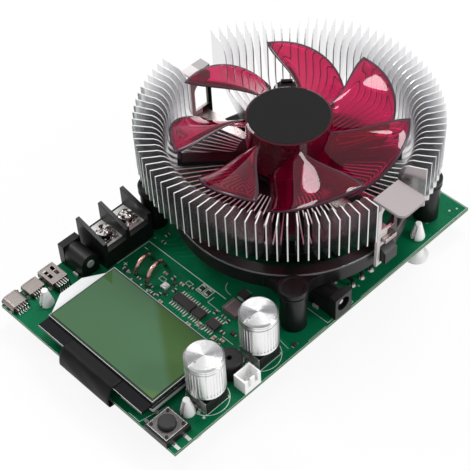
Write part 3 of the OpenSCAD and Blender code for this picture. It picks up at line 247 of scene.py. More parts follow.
def hangLights():
    for name, values in lightValues.items():
        lamp = bpy.data.lights.new(name, "AREA")
        lamp.shape = "DISK"
        lamp.size = values["size"]
        lamp.energy = values["power"]
        holder = bpy.data.objects.new(name, lamp)
        holder.location = values["at"]
        holder.rotation_euler = (lightAim - holder.location).to_track_quat("-Z", "Y").to_euler()
        scene.collection.objects.link(holder)


# strength of the white room where it is seen, where it is mirrored and as light
roomValues = {"shown": 1.0, "mirrored": 0.65, "ambient": 0.5}


def whiteRoom():
    scene.world = bpy.data.worlds.new("whiteRoom")
    room = Surround(scene.world)
    ambient = roomValues["ambient"]
    shown = room.rays("Is Camera Ray", "Is Transmission Ray") * (roomValues["shown"] - ambient)
    mirrored = room.rays("Is Glossy Ray") * (roomValues["mirrored"] - ambient)
    room.finish(Color=(1, 1, 1), Strength=shown.math("MAXIMUM", shown, mirrored) + ambient)


floorValues = {"half": 4.0, "colour": (0.86, 0.86, 0.86), "rough": 0.9, "gloss": 0.1, "glow": 0.9}


def layFloor():
    half = floorValues["half"]
    outline = [(-half, -half, 0), (half, -half, 0), (half, half, 0), (-half, half, 0)]
    mesh = bpy.data.meshes.new("floor")
    mesh.from_pydata(outline, [], [(0, 1, 2, 3)])
    floor = bpy.data.objects.new("floor", mesh)
    scene.collection.objects.link(floor)
    paint = Paint("paleFloor")
    paint.finish(
        Base_Color=floorValues["colour"], Roughness=floorValues["rough"],
        Specular_IOR_Level=floorValues["gloss"])
    # mostly white where it is seen, and the rest takes the shadow
    glow = paint.node("ShaderNodeEmission", {}, {"Color": (1, 1, 1), "Strength": 1.0})
    share = paint.rays("Is Camera Ray", "Is Glossy Ray", "Is Transmission Ray") * floorValues["glow"]
    plain = Wire(paint, paint.shader.outputs[0])
    surface = paint.node("ShaderNodeMixShader", {}, {0: share, 1: plain, 2: glow})
    paint.feed(paint.tree.nodes["Material Output"].inputs[0], surface)
    mesh.materials.append(paint.material)


# finishes

def mouldedPlastic(name, colour, rough=0.42, grain=0.02, gloss=0.5):
    paint = Paint(name)
    place = paint.place()
    cloud = paint.noise(place, 120, 3)
    fine = paint.noise(place, 4200, 2)
    lighter = tuple(min(1, c * 1.5 + 0.002) for c in colour)
    return paint.finish(
        Base_Color=paint.mix(cloud, colour, lighter), Roughness=cloud * 0.14 + (rough - 0.07),
        Specular_IOR_Level=gloss, Normal=paint.bump(fine, grain * mm))


def sheetMetal(name, colour, rough=0.3, along=(1, 1, 1), scratch=0.006, metal=1.0):
    paint = Paint(name)
    place = paint.place()
    streak = paint.streaks(place, along)
    cloud = paint.noise(place, 160, 2)
    darker = tuple(c * 0.8 for c in colour)
    spread = 0.16  # how far the roughness wanders
    return paint.finish(
        Base_Color=paint.mix(streak * 0.6 + cloud * 0.4, darker, colour), Metallic=metal,
        Roughness=streak * spread + cloud * spread + (rough - spread),
        Normal=paint.bump(streak, scratch * mm))


def solderMask():
    # green lacquer on both faces, glass weave in the cut sides, and a painted highlight as a pale line along
    # their edges
    paint = Paint("solderMask")
    place = paint.place()
    z = paint.axes(place)[2]
    cloud = paint.noise(place, 70, 3)
    fine = paint.noise(place, 900, 3)
    weave = paint.noise(paint.stretch(place, (1, 1, 0.1)), 2600, 2)
    mask = paint.mix(cloud * 0.7 + fine * 0.3, lin(0, 84, 52), lin(8, 122, 80))
    core = paint.mix(weave, lin(56, 98, 72), lin(112, 142, 114))
    # painted highlight: a pale line along the top and bottom of the cut sides
    edgeHighlightWide = 0.16 * mm
    line = abs(z - (boardHigh.z + boardLow.z) / 2) > (boardHigh.z - boardLow.z) / 2 - edgeHighlightWide
    core = paint.mix(line, core, lin(214, 222, 206))
    level = abs(paint.normal()[2]) > 0.5
    return paint.finish(
        Base_Color=paint.mix(level, core, mask), Roughness=cloud * 0.1 + fine * 0.08 + 0.2,
        Specular_IOR_Level=0.12, Normal=paint.bump(fine, 0.004 * mm))


def maskedCopper():
    paint = Paint("maskedCopper")
    cloud = paint.noise(paint.place(), 300, 2)
    shade = paint.mix(cloud, lin(6, 126, 80), lin(16, 146, 98))
    return paint.finish(Base_Color=shade, Roughness=cloud * 0.1 + 0.22, Specular_IOR_Level=0.12)


filmValues = {
    "field": (lin(69, 104, 72), lin(75, 111, 80)), "olive": lin(60, 91, 40),
    "patch": lin(50, 92, 34), "corner": lin(94, 122, 58),
}


def displayFilm():
    paint = Paint("displayFilm")
    place = paint.place()
    x, y, _ = paint.axes(place)
    low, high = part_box("lcd_film")
    across = (x - low.x) / (high.x - low.x)
    along = (y - low.y) / (high.y - low.y)
    cloud = paint.noise(place, 40, 2)
    slope = paint.step(across * 0.6 + along * 0.7 + cloud * 0.1, 0.1, 1.3)
    field = paint.mix(slope, *filmValues["field"])
    # the liquid crystal changes colour towards the corners
    olive = paint.step(across + along * 0.77 + cloud * 0.01, 1.15, 1.27)
    field = paint.mix(olive * 0.9, field, filmValues["olive"])
    patch = paint.step(along, 0.815, 0.83) * paint.step(0.985 - along - across * 1.65, 0.0, 0.02)
    field = paint.mix(patch * 0.85, field, filmValues["patch"])
    for corner in (across - along * 1.2 - 0.8, 0.12 - across * 1.6 - along):
        field = paint.mix(paint.step(corner, 0.0, 0.15) * 0.6, field, filmValues["corner"])
    dots = paint.noise(place, 5000, 1)
    return paint.finish(Base_Color=field, Roughness=dots * 0.05 + 0.2, Specular_IOR_Level=0.3)


def displayGlass(name, colour):
    paint = Paint(name)
    cloud = paint.noise(paint.place(), 220, 2)
    darker = tuple(c * 0.75 for c in colour)
    return paint.finish(
        Base_Color=paint.mix(cloud, darker, colour), Roughness=cloud * 0.06 + 0.06,
        Specular_IOR_Level=0.2)


# turned knobs: how bright each top is, a painted light that makes the front top brighter than the rear one,
# then lengths in millimetres
knobValues = {
    "paintedTopLight": {"front_knob": 0.72, "rear_knob": 0.5},
    "ringPitch": 0.22, "ringDeep": 0.004, "grooveDown": 1.5, "grooveHalf": 0.12,
}


def spunMetal(knob):
    # rings around the axis on top, with a painted reflection in two darker wedges, and painted shade in fine
    # lines down the side
    paint = Paint(knob.replace("_knob", "SpunMetal"))
    low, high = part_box(knob)
    axis = (low + high) / 2
    place = paint.place()
    x, y, z = paint.axes(place)
    dx, dy = x - axis.x, y - axis.y
    radius = (dx * dx + dy * dy) ** 0.5
    angle = dy.math("ARCTAN2", dy, dx)
    rings = (radius * (2 * pi / (knobValues["ringPitch"] * mm))).sine()
    top = abs(paint.normal()[2]) > 0.7
    wear = paint.noise(place, 600, 3)
    grain = paint.noise(paint.stretch(place, (1, 1, 0.03)), 1100, 1)
    # painted reflection: two darker wedges on top, where the turning marks would mirror the light; painted
    # shade: a few dark lines down the side
    paintedReflectionWedges = (angle * 2 - 0.4).sine() + (angle * 7 + 2.2).sine() * 0.12
    knurlShadeLines = wear * 0.1 + paint.step(grain, 0.64, 0.74) * 0.6
    side = paint.mix(knurlShadeLines, (0.96, 0.96, 0.96), (0.5, 0.5, 0.51))
    # painted shade: the groove near the top is painted darker
    paintedGrooveShade = abs(z - (high.z - knobValues["grooveDown"] * mm)) < knobValues["grooveHalf"] * mm
    side = paint.mix(paintedGrooveShade, side, (0.4, 0.4, 0.4))
    # painted light: both tops are the same metal, painted to a different brightness
    litTone = knobValues["paintedTopLight"][knob]
    wedgeDarkReflection = (litTone * 0.46, litTone * 0.46, litTone * 0.47)
    face = paint.mix(paint.step(paintedReflectionWedges, 0.0, 1.0), (litTone, litTone, litTone), wedgeDarkReflection)
    return paint.finish(
        Base_Color=paint.mix(top, side, face), Metallic=1.0, Roughness=wear * 0.1 - top * 0.08 + 0.28,
        Normal=paint.bump(rings * top, knobValues["ringDeep"] * mm))


def finSheet():
    # rolled sheet whose cut edges are brighter than its faces
    paint = Paint("finSheet")
    place = paint.place()
    x, y, _ = paint.axes(place)
    dx, dy = x - fanAt.x, y - fanAt.y
    radius = (dx * dx + dy * dy) ** 0.5
    nx, ny, _ = paint.normal()
    face = paint.step(abs(nx * dy - ny * dx) / radius, 0.6, 0.8)
    streak = paint.streaks(place, (1, 1, 0.08))
    cloud = paint.noise(place, 160, 2)
    sheet = paint.mix(streak * 0.6 + cloud * 0.4, lin(226, 226, 228), lin(240, 240, 241))
    return paint.finish(
        Base_Color=paint.mix(face, lin(232, 232, 232), sheet), Metallic=face * 0.85 + 0.15,
        Roughness=streak * 0.1 + cloud * 0.06 + 0.14, Normal=paint.bump(streak, 0.006 * mm))


def clearRed():
    paint = Paint("clearRed")
    place = paint.place()
    cloud = paint.noise(place, 60, 2)
    ripple = paint.noise(paint.stretch(place, (1, 1, 0.4)), 160, 1)
    shade = paint.mix(cloud, (0.52, 0.004, 0.07), (0.64, 0.01, 0.11))
    return paint.finish(
        Base_Color=shade, Roughness=0.02, IOR=1.45, Transmission_Weight=0.94,
        Specular_IOR_Level=0.1, Normal=paint.bump(ripple, 0.04 * mm, 0.3))


def lightGuide():
    # white on top; the side is light grey low down and dark above, a painted shadow under the glass
    paint = Paint("lightGuide")
    place = paint.place()
    cloud = paint.noise(place, 120, 3)
    top = paint.mix(cloud, lin(226, 228, 228), lin(240, 241, 241))
    low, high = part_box("lcd_backlight")
    lift = (paint.axes(place)[2] - low.z) / (high.z - low.z)
    # painted shadow: the upper part of the side is dark
    side = paint.mix(paint.step(lift, 0.5, 0.56), lin(206, 207, 206), lin(46, 46, 48))
    return paint.finish(
        Base_Color=paint.mix(paint.normal()[2] > 0.5, side, top), Roughness=cloud * 0.1 + 0.3)


def hookSteel():
    # the same steel painted lit and shaded: the front plate painted pale and dull, the rear one polished and
    # painted dark, with a painted highlight on its top
    paint = Paint("hookSteel")
    place = paint.place()
    front = paint.axes(place)[1] < fanAt.y
    streak = paint.streaks(place, (1, 0.12, 1))
    paintedLitPlate = paint.mix(streak, lin(206, 200, 200), lin(232, 226, 226))
    paintedShadedPlate = paint.mix(streak, lin(58, 50, 48), lin(86, 76, 74))
    # painted highlight: the rear plate's upward faces are painted bright
    paintedShadedPlate = paint.mix(paint.step(paint.normal()[2], 0.2, 0.4), paintedShadedPlate, lin(222, 219, 218))
    return paint.finish(
        Base_Color=paint.mix(front, paintedShadedPlate, paintedLitPlate), Metallic=1.0 - front * 0.65,
        Roughness=front * 0.25 + streak * 0.12 + 0.2, Normal=paint.bump(streak, 0.006 * mm))


def paintedReflectionChrome():
    # bright plating with small dents, and dark patches in its colour as a painted reflection of the dark
    # walls around it
    paint = Paint("paintedReflectionChrome")
    dentsAndReflection = paint.noise(paint.place(), 430, 3)
    # painted reflection: dark patches in the plating's colour
    shade = paint.mix(paint.step(dentsAndReflection, 0.44, 0.56), lin(74, 64, 62), lin(246, 242, 240))
    return paint.finish(
        Base_Color=shade, Metallic=1.0, Roughness=dentsAndReflection * 0.14 + 0.1,
        Normal=paint.bump(dentsAndReflection, 0.12 * mm))


def copperWire():
    paint = Paint("copperWire")
    streak = paint.noise(paint.stretch(paint.place(), (0.3, 0.3, 1)), 1800, 3)
    shade = paint.mix(streak, lin(150, 92, 76), lin(248, 210, 198))
    return paint.finish(
        Base_Color=shade, Metallic=1.0, Roughness=streak * 0.16 + 0.18,
        Normal=paint.bump(streak, 0.01 * mm))


finishes = {
    "mask": solderMask(),
    "trace": maskedCopper(),
    "print": mouldedPlastic("whitePrint", lin(206, 214, 208), rough=0.5, grain=0.004),
    "nylon": mouldedPlastic("milkyNylon", lin(252, 252, 251), rough=0.4, grain=0.01),
    "black": mouldedPlastic("blackMoulding", lin(17, 17, 18), rough=0.38, grain=0.012, gloss=0.3),
    "satin": mouldedPlastic("satinBracket", lin(16, 16, 17), rough=0.32, grain=0.008, gloss=0.3),
    # painted highlight: the lip is the bracket's black plastic, painted lighter so its rounded edge shows a
    # bright line
    "lip": mouldedPlastic("paintedHighlightLip", lin(80, 80, 82), rough=0.12, grain=0.002, gloss=1.0),
    "chip": mouldedPlastic("chipMoulding", lin(47, 45, 45), rough=0.5, gloss=0.3),
    "diode": mouldedPlastic("greyMoulding", lin(104, 92, 95)),
    "stripe": mouldedPlastic("diodeStripe", lin(142, 132, 133), grain=0.01),
    "button": mouldedPlastic("buttonCap", lin(37, 37, 37), rough=0.45, grain=0.015, gloss=0.3),
    "disc": mouldedPlastic("hubDisc", lin(12, 12, 12), rough=0.75, grain=0.006, gloss=0.2),
    "ribbon": mouldedPlastic("ribbonTape", lin(13, 13, 14), rough=0.45, grain=0.01, gloss=0.15),
    "foam": mouldedPlastic("greyFoam", lin(70, 70, 70), rough=0.9, grain=0.12),
    "backlight": lightGuide(),
    "ceramic": mouldedPlastic("tanCeramic", lin(150, 118, 88), rough=0.35, grain=0.01),
    "magnet": mouldedPlastic("magnetGrey", lin(60, 60, 62), rough=0.5),
    "shell": sheetMetal("platedShell", lin(160, 151, 147), rough=0.42, along=(1, 0.2, 1)),
    # painted reflection: the switch cover's pale steel is painted dark grey, as it mirrors dark surroundings
    "cover": sheetMetal("paintedReflectionCover", lin(106, 103, 103), rough=0.44, along=(1, 0.2, 1)),
    # pale steel of the controls' front plates, and the painted highlight along the switch cover's edge
    "rim": sheetMetal("steelAndPaintedHighlight", lin(196, 194, 192), rough=0.4),
    # painted highlight along the display glass edges
    "cut": mouldedPlastic("paintedGlassHighlight", lin(186, 187, 184), rough=0.3, grain=0.004),
    "tin": sheetMetal("brightTin", lin(234, 231, 228), rough=0.24),
    "solder": sheetMetal("dullSolder", lin(226, 225, 222), rough=0.45, metal=0.45),
    "chrome": paintedReflectionChrome(),
    "fin": finSheet(),
    # painted shade: the core's metal is painted dark, as it lies in the fins' shadow
    "core": sheetMetal("paintedShadeCore", lin(70, 70, 72), rough=0.4),
    "clip": sheetMetal("clipSteel", lin(178, 168, 165), rough=0.28, along=(1, 0.12, 1)),
    "pad": sheetMetal(
        "leverSteel", lin(172, 162, 163), rough=0.62, along=(1, 0.12, 1), scratch=0.012, metal=0.3),
    "hooks": hookSteel(),
    "copper": copperWire(),
    "film": displayFilm(),
    "frontGlass": displayGlass("rimGlass", lin(70, 80, 73)),
    "rearGlass": displayGlass("ledgeGlass", lin(26, 25, 29)),
    "red": clearRed(),
    # painted shade on the blades' free edges
    "paintedShadeRim": mouldedPlastic("paintedShadeRim", lin(58, 30, 44), rough=0.2, grain=0.004, gloss=0.4),
    "frontKnob": spunMetal("front_knob"),
    "rearKnob": spunMetal("rear_knob"),
}

# which solids wear each finish
wornBy = {
    "mask": ["circuit_board"],
    "nylon": ["standoffs", "header_shell"],
    "shell": ["flat_port_shell", "small_port_shell", "tall_port_shell"],
    "black": [
        "flat_port_tongue", "small_port_tongue", "tall_port_tongue", "load_jack_body", "supply_jack_body",
        "terminal_block_body", "front_pot_body", "rear_pot_body", "switch_base", "buzzer", "fan_frame"],
    "tin": [
        "supply_jack_pin", "front_pot_shaft", "rear_pot_shaft", "switch_leads", "switch_dome",
        "header_pins", "chip_leads", "solder_joints", "fan_shaft"],
    "solder": ["load_jack_pin", "terminal_contacts"],
    "chrome": ["terminal_clamps", "front_terminal_screw", "rear_terminal_screw"],
    "backlight": ["lcd_backlight"], "rearGlass": ["lcd_rear_glass"], "frontGlass": ["lcd_front_glass"],
    "film": ["lcd_film"], "ribbon": ["lcd_ribbon"], "foam": ["lcd_pads", "thermal_pad"],
    "frontKnob": ["front_knob"], "rearKnob": ["rear_knob"],
    "cover": ["switch_cover"], "button": ["switch_button"],
    "copper": ["current_shunts", "fan_stator"], "diode": ["power_diode"], "ceramic": ["small_parts"],
    "chip": ["chip_bodies", "transistor_body"], "core": ["transistor_leads", "heatsink_core"],
    "satin": ["cooler_bracket", "push_pins"], "fin": ["heatsink_fins"],
    "clip": ["clip_bar", "lever_pin"], "hooks": ["hook_plates"], "pad": ["clip_lever"],
    "magnet": ["rotor_magnet"], "red": ["fan_hub", "fan_blades"],
}


def dressNodes():
    for finish, names in wornBy.items():
        for name in names:
            mesh = nodes[name].data
            mesh.materials.clear()
            mesh.materials.append(finishes[finish])


# rounded edges on nodes whose edges catch the light: angles in degrees, widths in millimetres
edgeValues = {
    "weld": 0.001, "flat": 0.5, "sharp": 40, "steps": 2, "weight": 80,
    "widths": {
        "load_jack_body": 0.3, "supply_jack_body": 0.3, "terminal_block_body": 0.25, "switch_base": 0.2,
        "header_shell": 0.2, "front_pot_body": 0.2, "rear_pot_body": 0.2, "chip_bodies": 0.12,
        "power_diode": 0.15, "cooler_bracket": 0.6, "push_pins": 0.2, "clip_lever": 0.25,
        "hook_plates": 0.2, "clip_bar": 0.2, "standoffs": 0.25, "switch_cover": 0.1,
        "terminal_clamps": 0.2, "lcd_backlight": 0.3, "fan_frame": 0.3, "flat_port_shell": 0.08,
        "small_port_shell": 0.12, "tall_port_shell": 0.12, "front_terminal_screw": 0.25,
        "rear_terminal_screw": 0.25, "buzzer": 0.2, "heatsink_core": 0.2,
    },
}


def roundEdges():
    for name, width in edgeValues["widths"].items():
        node = nodes[name]
        join = node.modifiers.new("join", "WELD")
        join.merge_threshold = edgeValues["weld"] * mm
        flat = node.modifiers.new("flat", "DECIMATE")
        flat.decimate_type = "DISSOLVE"
        flat.angle_limit = radians(edgeValues["flat"])
        edge = node.modifiers.new("edge", "BEVEL")
        edge.width = width * mm
        edge.segments = edgeValues["steps"]
        edge.limit_method = "ANGLE"
        edge.angle_limit = radians(edgeValues["sharp"])
        edge.use_clamp_overlap = True
        smooth = node.modifiers.new("smooth", "WEIGHTED_NORMAL")
        smooth.weight = edgeValues["weight"]
        smooth.keep_sharp = False


# mesh building: a paint is a place in the list of finishes that a piece is made with

def newPiece(name, body, build, paints, replaced=(), smooth=False):
    work = bmesh.new()
    build(work)
    bmesh.ops.recalc_face_normals(work, faces=work.faces)
    mesh = bpy.data.meshes.new(name)
    work.to_mesh(mesh)
    work.free()
    for paint in paints:
        mesh.materials.append(finishes[paint])
    for face in mesh.polygons:
        face.use_smooth = smooth
    piece = bpy.data.objects.new(name, mesh)
    scene.collection.objects.link(piece)
    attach(piece, body)
    if replaced:
        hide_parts(*replaced)


def loft(work, rings, paint=0, endless=False):
    # skins rings of points one after the other, then joins the last to the first or caps both ends
    made = [[work.verts.new(p) for p in ring] for ring in rings]
    count = len(made[0])
    faces = []
    for lower, upper in zip(made, made[1:] + made[:1] if endless else made[1:]):
        for i in range(count):
            j = (i + 1) % count
            faces.append(work.faces.new((lower[i], lower[j], upper[j], upper[i])))
    if not endless:
        faces.append(work.faces.new(made[0][::-1]))
        faces.append(work.faces.new(made[-1]))
    for face in faces:
        face.material_index = paint
    return faces


def circle(u, v, radius, steps):
    turns = [2 * pi * i / steps for i in range(steps)]
    return [(u + radius * cos(turn), v + radius * sin(turn)) for turn in turns]


def corners(u0, v0, u1, v1):
    return [(u0, v0), (u1, v0), (u1, v1), (u0, v1)]


def heading(start, end):
    return Vector((end[0] - start[0], end[1] - start[1])).normalized()


def strip(work, path, width, low, high, paint=0, closed=False):
    # a flat line of even width along a path on the board
    rings = []
    sharpest = 0.4  # keeps the points of sharp corners short
    for i, (u, v) in enumerate(path):
        runs = []
        if i or closed:
            runs.append(heading(path[i - 1], (u, v)))
        if i < len(path) - 1 or closed:
            runs.append(heading((u, v), path[(i + 1) % len(path)]))
        along = sum(runs, Vector((0, 0))).normalized()
        across = Vector((-along.y, along.x))
        reach = width / 2 / max(sharpest, across.dot(Vector((-runs[0].y, runs[0].x))))
        left, right = Vector((u, v)) + across * reach, Vector((u, v)) - across * reach
        rings.append([onBoard(*left, low), onBoard(*right, low), onBoard(*right, high), onBoard(*left, high)])
    loft(work, rings, paint, closed)


def disc(work, u, v, radius, low, high, paint=0, steps=20):
    loft(work, [[onBoard(*p, z) for p in circle(u, v, radius, steps)] for z in (low, high)], paint)


def block(work, u, v, low, size, paint=0, edge=0.0):
    # an upright block with chamfered upright edges and top
    wide, deep, tall = size
    corner = min(edge, wide / 3, deep / 3)
    x, y = wide / 2, deep / 2
    outline = corners(-x, -y, x, y)
    if corner:
        outline = [(corner - x, -y), (x - corner, -y), (x, corner - y), (x, y - corner),
                   (x - corner, y), (corner - x, y), (-x, y - corner), (-x, corner - y)]

    def ring(shrink, z):
        return [onBoard(u + du * (1 - shrink / x), v + dv * (1 - shrink / y), z) for du, dv in outline]

    rings = [ring(0, low), ring(0, low + tall - corner)]
    if corner:
        rings.append(ring(corner, low + tall))
    loft(work, rings, paint)


controls = ("front_pot_body", "rear_pot_body")
controlLugs = (-2.5, 0, 2.5)  # from the control's middle
chipRows = [(47.8, 8), (58.6, 4), (66.7, 4)]  # first lead and number of leads on a side
leadPitch = 1.27


# printed lines on the board: widths, then paths and boxes with the width that each is drawn in
printValues = {
    "line": 0.24, "thin": 0.16, "pole": 0.3, "high": 0.02,
    "controlHalf": 5.75, "controlRing": 8.3, "ringSteps": 40,
    "edgeIn": 0.45, "edgeFrom": 70, "jackFrom": 80, "jackTo": 100,
    "paths": [
        ("line", [(17, 46), (17.4, 63), (62.4, 63)]),
        ("line", [(75, 0.6), (81, 0.6), (81, 1.2), (83.4, 12.4)]),
        ("thin", [(91.8, 62.9), (97.2, 62.1)]),
        ("thin", [(63.2, 45.2), (63.2, 48.2)]), ("thin", [(65.4, 45.2), (65.4, 48.2)]),
        ("thin", [(72.1, 44.8), (72.1, 47.4)]), ("thin", [(74.3, 44.8), (74.3, 47.4)]),
        ("thin", [(58.4, 60.4), (58.4, 57.0), (65.6, 57.0)]),
        ("thin", [(74.6, 49.0), (80.6, 49.0)]),
        ("thin", [(57, 69.3), (57.6, 67.6), (59.1, 66.3), (60.8, 65.8), (62.4, 65.8)]),
        # plus and minus of the terminal block
        ("pole", [(18.6, 48.2), (20.6, 48.2)]), ("pole", [(19.6, 47.2), (19.6, 49.2)]),
        ("pole", [(18.6, 59.6), (20.6, 59.6)]),
    ],
    "boxes": [
        ("line", (50.3, 58.2, 53.1, 62.6)), ("line", (53.8, 58.2, 56.6, 62.6)),
        ("thin", (19, 40.6, 24, 43.4)), ("thin", (84.2, 81.6, 99.6, 96.2)),
        ("thin", (44.8, 57.7, 47.6, 59.5)), ("thin", (35.2, 52.1, 38, 53.9)),
        ("thin", (79, 56.5, 81.8, 58.3)),
    ],
}


def boardPrint(work):
    def draw(width, path, closed=False):
        strip(work, path, printValues[width], 0, printValues["high"], 0, closed)

    for width, path in printValues["paths"]:
        draw(width, path)
    for width, box in printValues["boxes"]:
        draw(width, corners(*box), True)
    half = printValues["controlHalf"]
    for name in controls:
        u, v = boardPlace(name)
        draw("line", corners(u - half, v - half, u + half, v + half), True)
        draw("line", circle(u, v, printValues["controlRing"], printValues["ringSteps"]), True)
    # along the board's edges, open where the supply jack stands
    left, start = printValues["edgeIn"], printValues["edgeFrom"]
    right, back = boardWide - left, boardLong - left
    draw("thin", [(right, start), (right, printValues["jackFrom"])])
    draw("thin", [(right, printValues["jackTo"]), (right, back), (left, back), (left, start)])


# copper under the mask, vias and tinned pads
copperValues = {
    "traceWide": 0.42, "high": 0.012, "seed": 11,
    "viaOut": 0.42, "viaHigh": 0.025, "viaSteps": 14, "holeOut": 0.2, "holeHigh": 0.03, "holeSteps": 10,
    # v of the four points of the runs from the chips' leads
    "frontRun": (47.2, 46.2, 44.6, 42.2), "rearRun": (53.6, 54.4, 55.6, 56.4),
    "slant": 0.5, "stagger": 0.5, "viaRow": 41.8,
    # bundles of runs: how many, then each point's place and its step from one run to the next
    "bundles": [
        (5, [(2.0, 70, 0.9, 1), (2.0, 128, 0.9, -1), (8, 136, 1, 0), (8, 160, 1, -2)]),
        (5, [(84, 66, 1.2, 0.8), (88, 70, 1.2, 0.8), (88, 78, 1.2, 0)]),
        (5, [(20, 66, 3.2, 0), (24, 70, 3.2, 0), (24, 74, 3.2, 1)]),
        (4, [(97.8, 60, 0, 1.2), (94, 60, -1, 1.2), (92, 62, -1, 1.2)]),
    ],
    # loose vias beside the cooler, and those in front of the chips
    "looseVias": 46, "looseFrom": 64.5, "margin": 3, "coolerAt": 112, "coolerClear": 46,
    "chipVias": 20, "chipViaU": (22, 82), "chipViaV": (41.5, 46.4),
    "chipMiddle": 50.4, "chipPadOut": 3.248, "chipPad": (0.44, 2.0, 0.06),
    "switchPads": [(98.6, 2.6), (83.2, 2.6), (98.6, 8.0), (83.2, 8.0)], "switchPad": (3.2, 1.4, 0.04),
    "portPads": {"flat_port_shell": 1.0, "small_port_shell": 1.0, "tall_port_shell": 1.2},
    "portPad": (1.7, 0.04), "portPadIn": 0.1,
    "pinPads": 5, "pinPad": (1.4, 0.36, 0.12), "pinPadOut": 0.7, "pinPadPitch": 0.65,
    "lugPad": 0.75, "lugPadOut": 6.9, "padHigh": 0.05,
    "roundPads": [(96.7, 18.1), (84.0, 78.6), (88.2, 98.8)], "roundPad": 0.6,
}
portLegs = (0.3, 0.78)  # shares of a port's depth from the board's edge


def via(work, u, v):
    # a tinned ring around a hole, drawn as a dark disc of painted shade
    values = copperValues
    disc(work, u, v, values["viaOut"], 0, values["viaHigh"], 1, values["viaSteps"])
    disc(work, u, v, values["holeOut"], values["viaHigh"], values["holeHigh"], 2, values["holeSteps"])


def copperRuns(work):
    def run(path):
        strip(work, path, copperValues["traceWide"], 0, copperValues["high"])

    # the chips' leads run off to both sides with a slant
    for first, count in chipRows:
        for i in range(count):
            u = first + i * leadPitch
            slant = (i - count / 2) * copperValues["slant"]
            shifts = (0, 0, slant, slant)
            run([(u + shift, v) for shift, v in zip(shifts, copperValues["frontRun"])])
            path = [(u - shift, v) for shift, v in zip(shifts, copperValues["rearRun"])]
            end, far = path[-1]
            run(path[:-1] + [(end, far + copperValues["stagger"] * (i % 3))])
            if i % 2:
                via(work, u + slant, copperValues["viaRow"])
    for count, points in copperValues["bundles"]:
        for i in range(count):
            run([(u + i * du, v + i * dv) for u, v, du, dv in points])


def looseVias(work):
    values = copperValues
    draws = random.Random(values["seed"])
    margin = values["margin"]
    for _ in range(values["looseVias"]):
        u = draws.uniform(margin, boardWide - margin)
        v = draws.uniform(values["looseFrom"], boardLong - margin)
        if hypot(u - boardWide / 2, v - values["coolerAt"]) > values["coolerClear"]:
            via(work, u, v)
    for _ in range(values["chipVias"]):
        u = draws.uniform(*values["chipViaU"])
        via(work, u, draws.uniform(*values["chipViaV"]))


def tinnedPads(work):
    values = copperValues
    for first, count in chipRows:
        for i in range(count):
            for side in (-1, 1):
                v = values["chipMiddle"] + side * values["chipPadOut"]
                block(work, first + i * leadPitch, v, 0, values["chipPad"], 1)
    for u, v in values["switchPads"]:
        block(work, u, v, 0, values["switchPad"], 1)
    padLong, padHigh = values["portPad"]
    for port, padWide in values["portPads"].items():
        (_, v0, _), (u1, v1, _) = boardBox(port)
        for share in portLegs:
            for v in (v0 + values["portPadIn"], v1 - values["portPadIn"]):
                block(work, u1 * share, v, 0, (padLong, padWide, padHigh), 1)
        for i in range(values["pinPads"]):
            v = (v0 + v1) / 2 + (i - (values["pinPads"] - 1) / 2) * values["pinPadPitch"]
            block(work, u1 + values["pinPadOut"], v, 0, values["pinPad"], 1)
    for name in controls:
        u, v = boardPlace(name)
        for du in controlLugs:
            disc(work, u + du, v - values["lugPadOut"], values["lugPad"], 0, values["padHigh"], 1)
    for u, v in values["roundPads"]:
        disc(work, u, v, values["roundPad"], 0, values["padHigh"], 1)


def boardCopper(work):
    copperRuns(work)
    looseVias(work)
    tinnedPads(work)


# small surface parts of each make: place, width, length and height
partValues = {
    "lamp": [(40.3, 50.9, 2.8, 3.0, 1.8)],
    "resistor": [
        (51.7, 60.3, 1.6, 3.2, 0.6), (55.2, 60.3, 1.6, 3.2, 0.6), (44.6, 52, 1.2, 2, 0.6),
        (48.4, 57.6, 2, 1.2, 0.6), (39.6, 56.2, 1.2, 2, 0.6), (73.6, 50.2, 2, 1.2, 0.6),
        (64.4, 55.4, 1.2, 2, 0.6), (39.6, 45, 2, 1.2, 0.6), (22.6, 66.6, 2, 1.2, 0.6),
        (20.6, 70.4, 1.2, 2, 0.6), (41.6, 46.4, 1.1, 1.8, 0.6), (68.4, 56.0, 1.8, 1.1, 0.6),
        (71.2, 55.4, 1.1, 1.8, 0.6), (36.2, 47.2, 1.8, 1.1, 0.6), (29.6, 46.6, 1.8, 1.1, 0.6),
        (82.4, 52.2, 1.8, 1.1, 0.6), (22.4, 46.0, 3.0, 1.5, 0.7),
    ],
    "capacitor": [
        (44.6, 56.2, 2, 1.2, 0.8), (61, 44, 2, 1.2, 0.8), (76.4, 47.2, 2, 1.2, 0.8),
        (80.4, 57.4, 2, 1.2, 0.8), (44.8, 44.3, 1.8, 1.1, 0.7), (64.3, 46.7, 1.3, 2.2, 0.7),
        (73.2, 46.1, 1.3, 2.0, 0.7), (35.6, 55.6, 1.9, 1.1, 0.8),
    ],
    "diode": [
        (77, 52.6, 3, 1.7, 1.1), (97.9, 64.9, 1.7, 2.7, 1.0), (42.2, 54.3, 2.4, 1.5, 0.9),
        (43.0, 48.5, 2.5, 1.6, 0.9), (66.6, 69.2, 4.6, 5.4, 1.6),
    ],
}
# body and ends of a make: shares of the part's own sizes, and gaps under and over the body
flatMake = {"body": (0.94, 0.94), "under": 0.02, "over": 0.02, "edge": 0.06, "ends": (1, 1)}
makeValues = {
    "resistor": {**flatMake, "paint": 2},
    "capacitor": {**flatMake, "paint": 0},
    "diode": {"body": (0.72, 0.92), "under": 0.1, "over": 0, "edge": 0.12, "ends": (0.6, 0.3), "paint": 2},
}
endValues = {"share": 0.22, "edge": 0.05}
# the lamp in shares of its own sizes, with the dome's radius and height from its foot up
lampValues = {
    "base": 0.62, "edge": 0.2, "tab": (0.7, 0.08, 0.3), "tabOut": 0.46, "steps": 20,
    "dome": [(1.15, 0.6), (1.1, 0.75), (0.85, 0.9), (0.4, 0.99)],
}


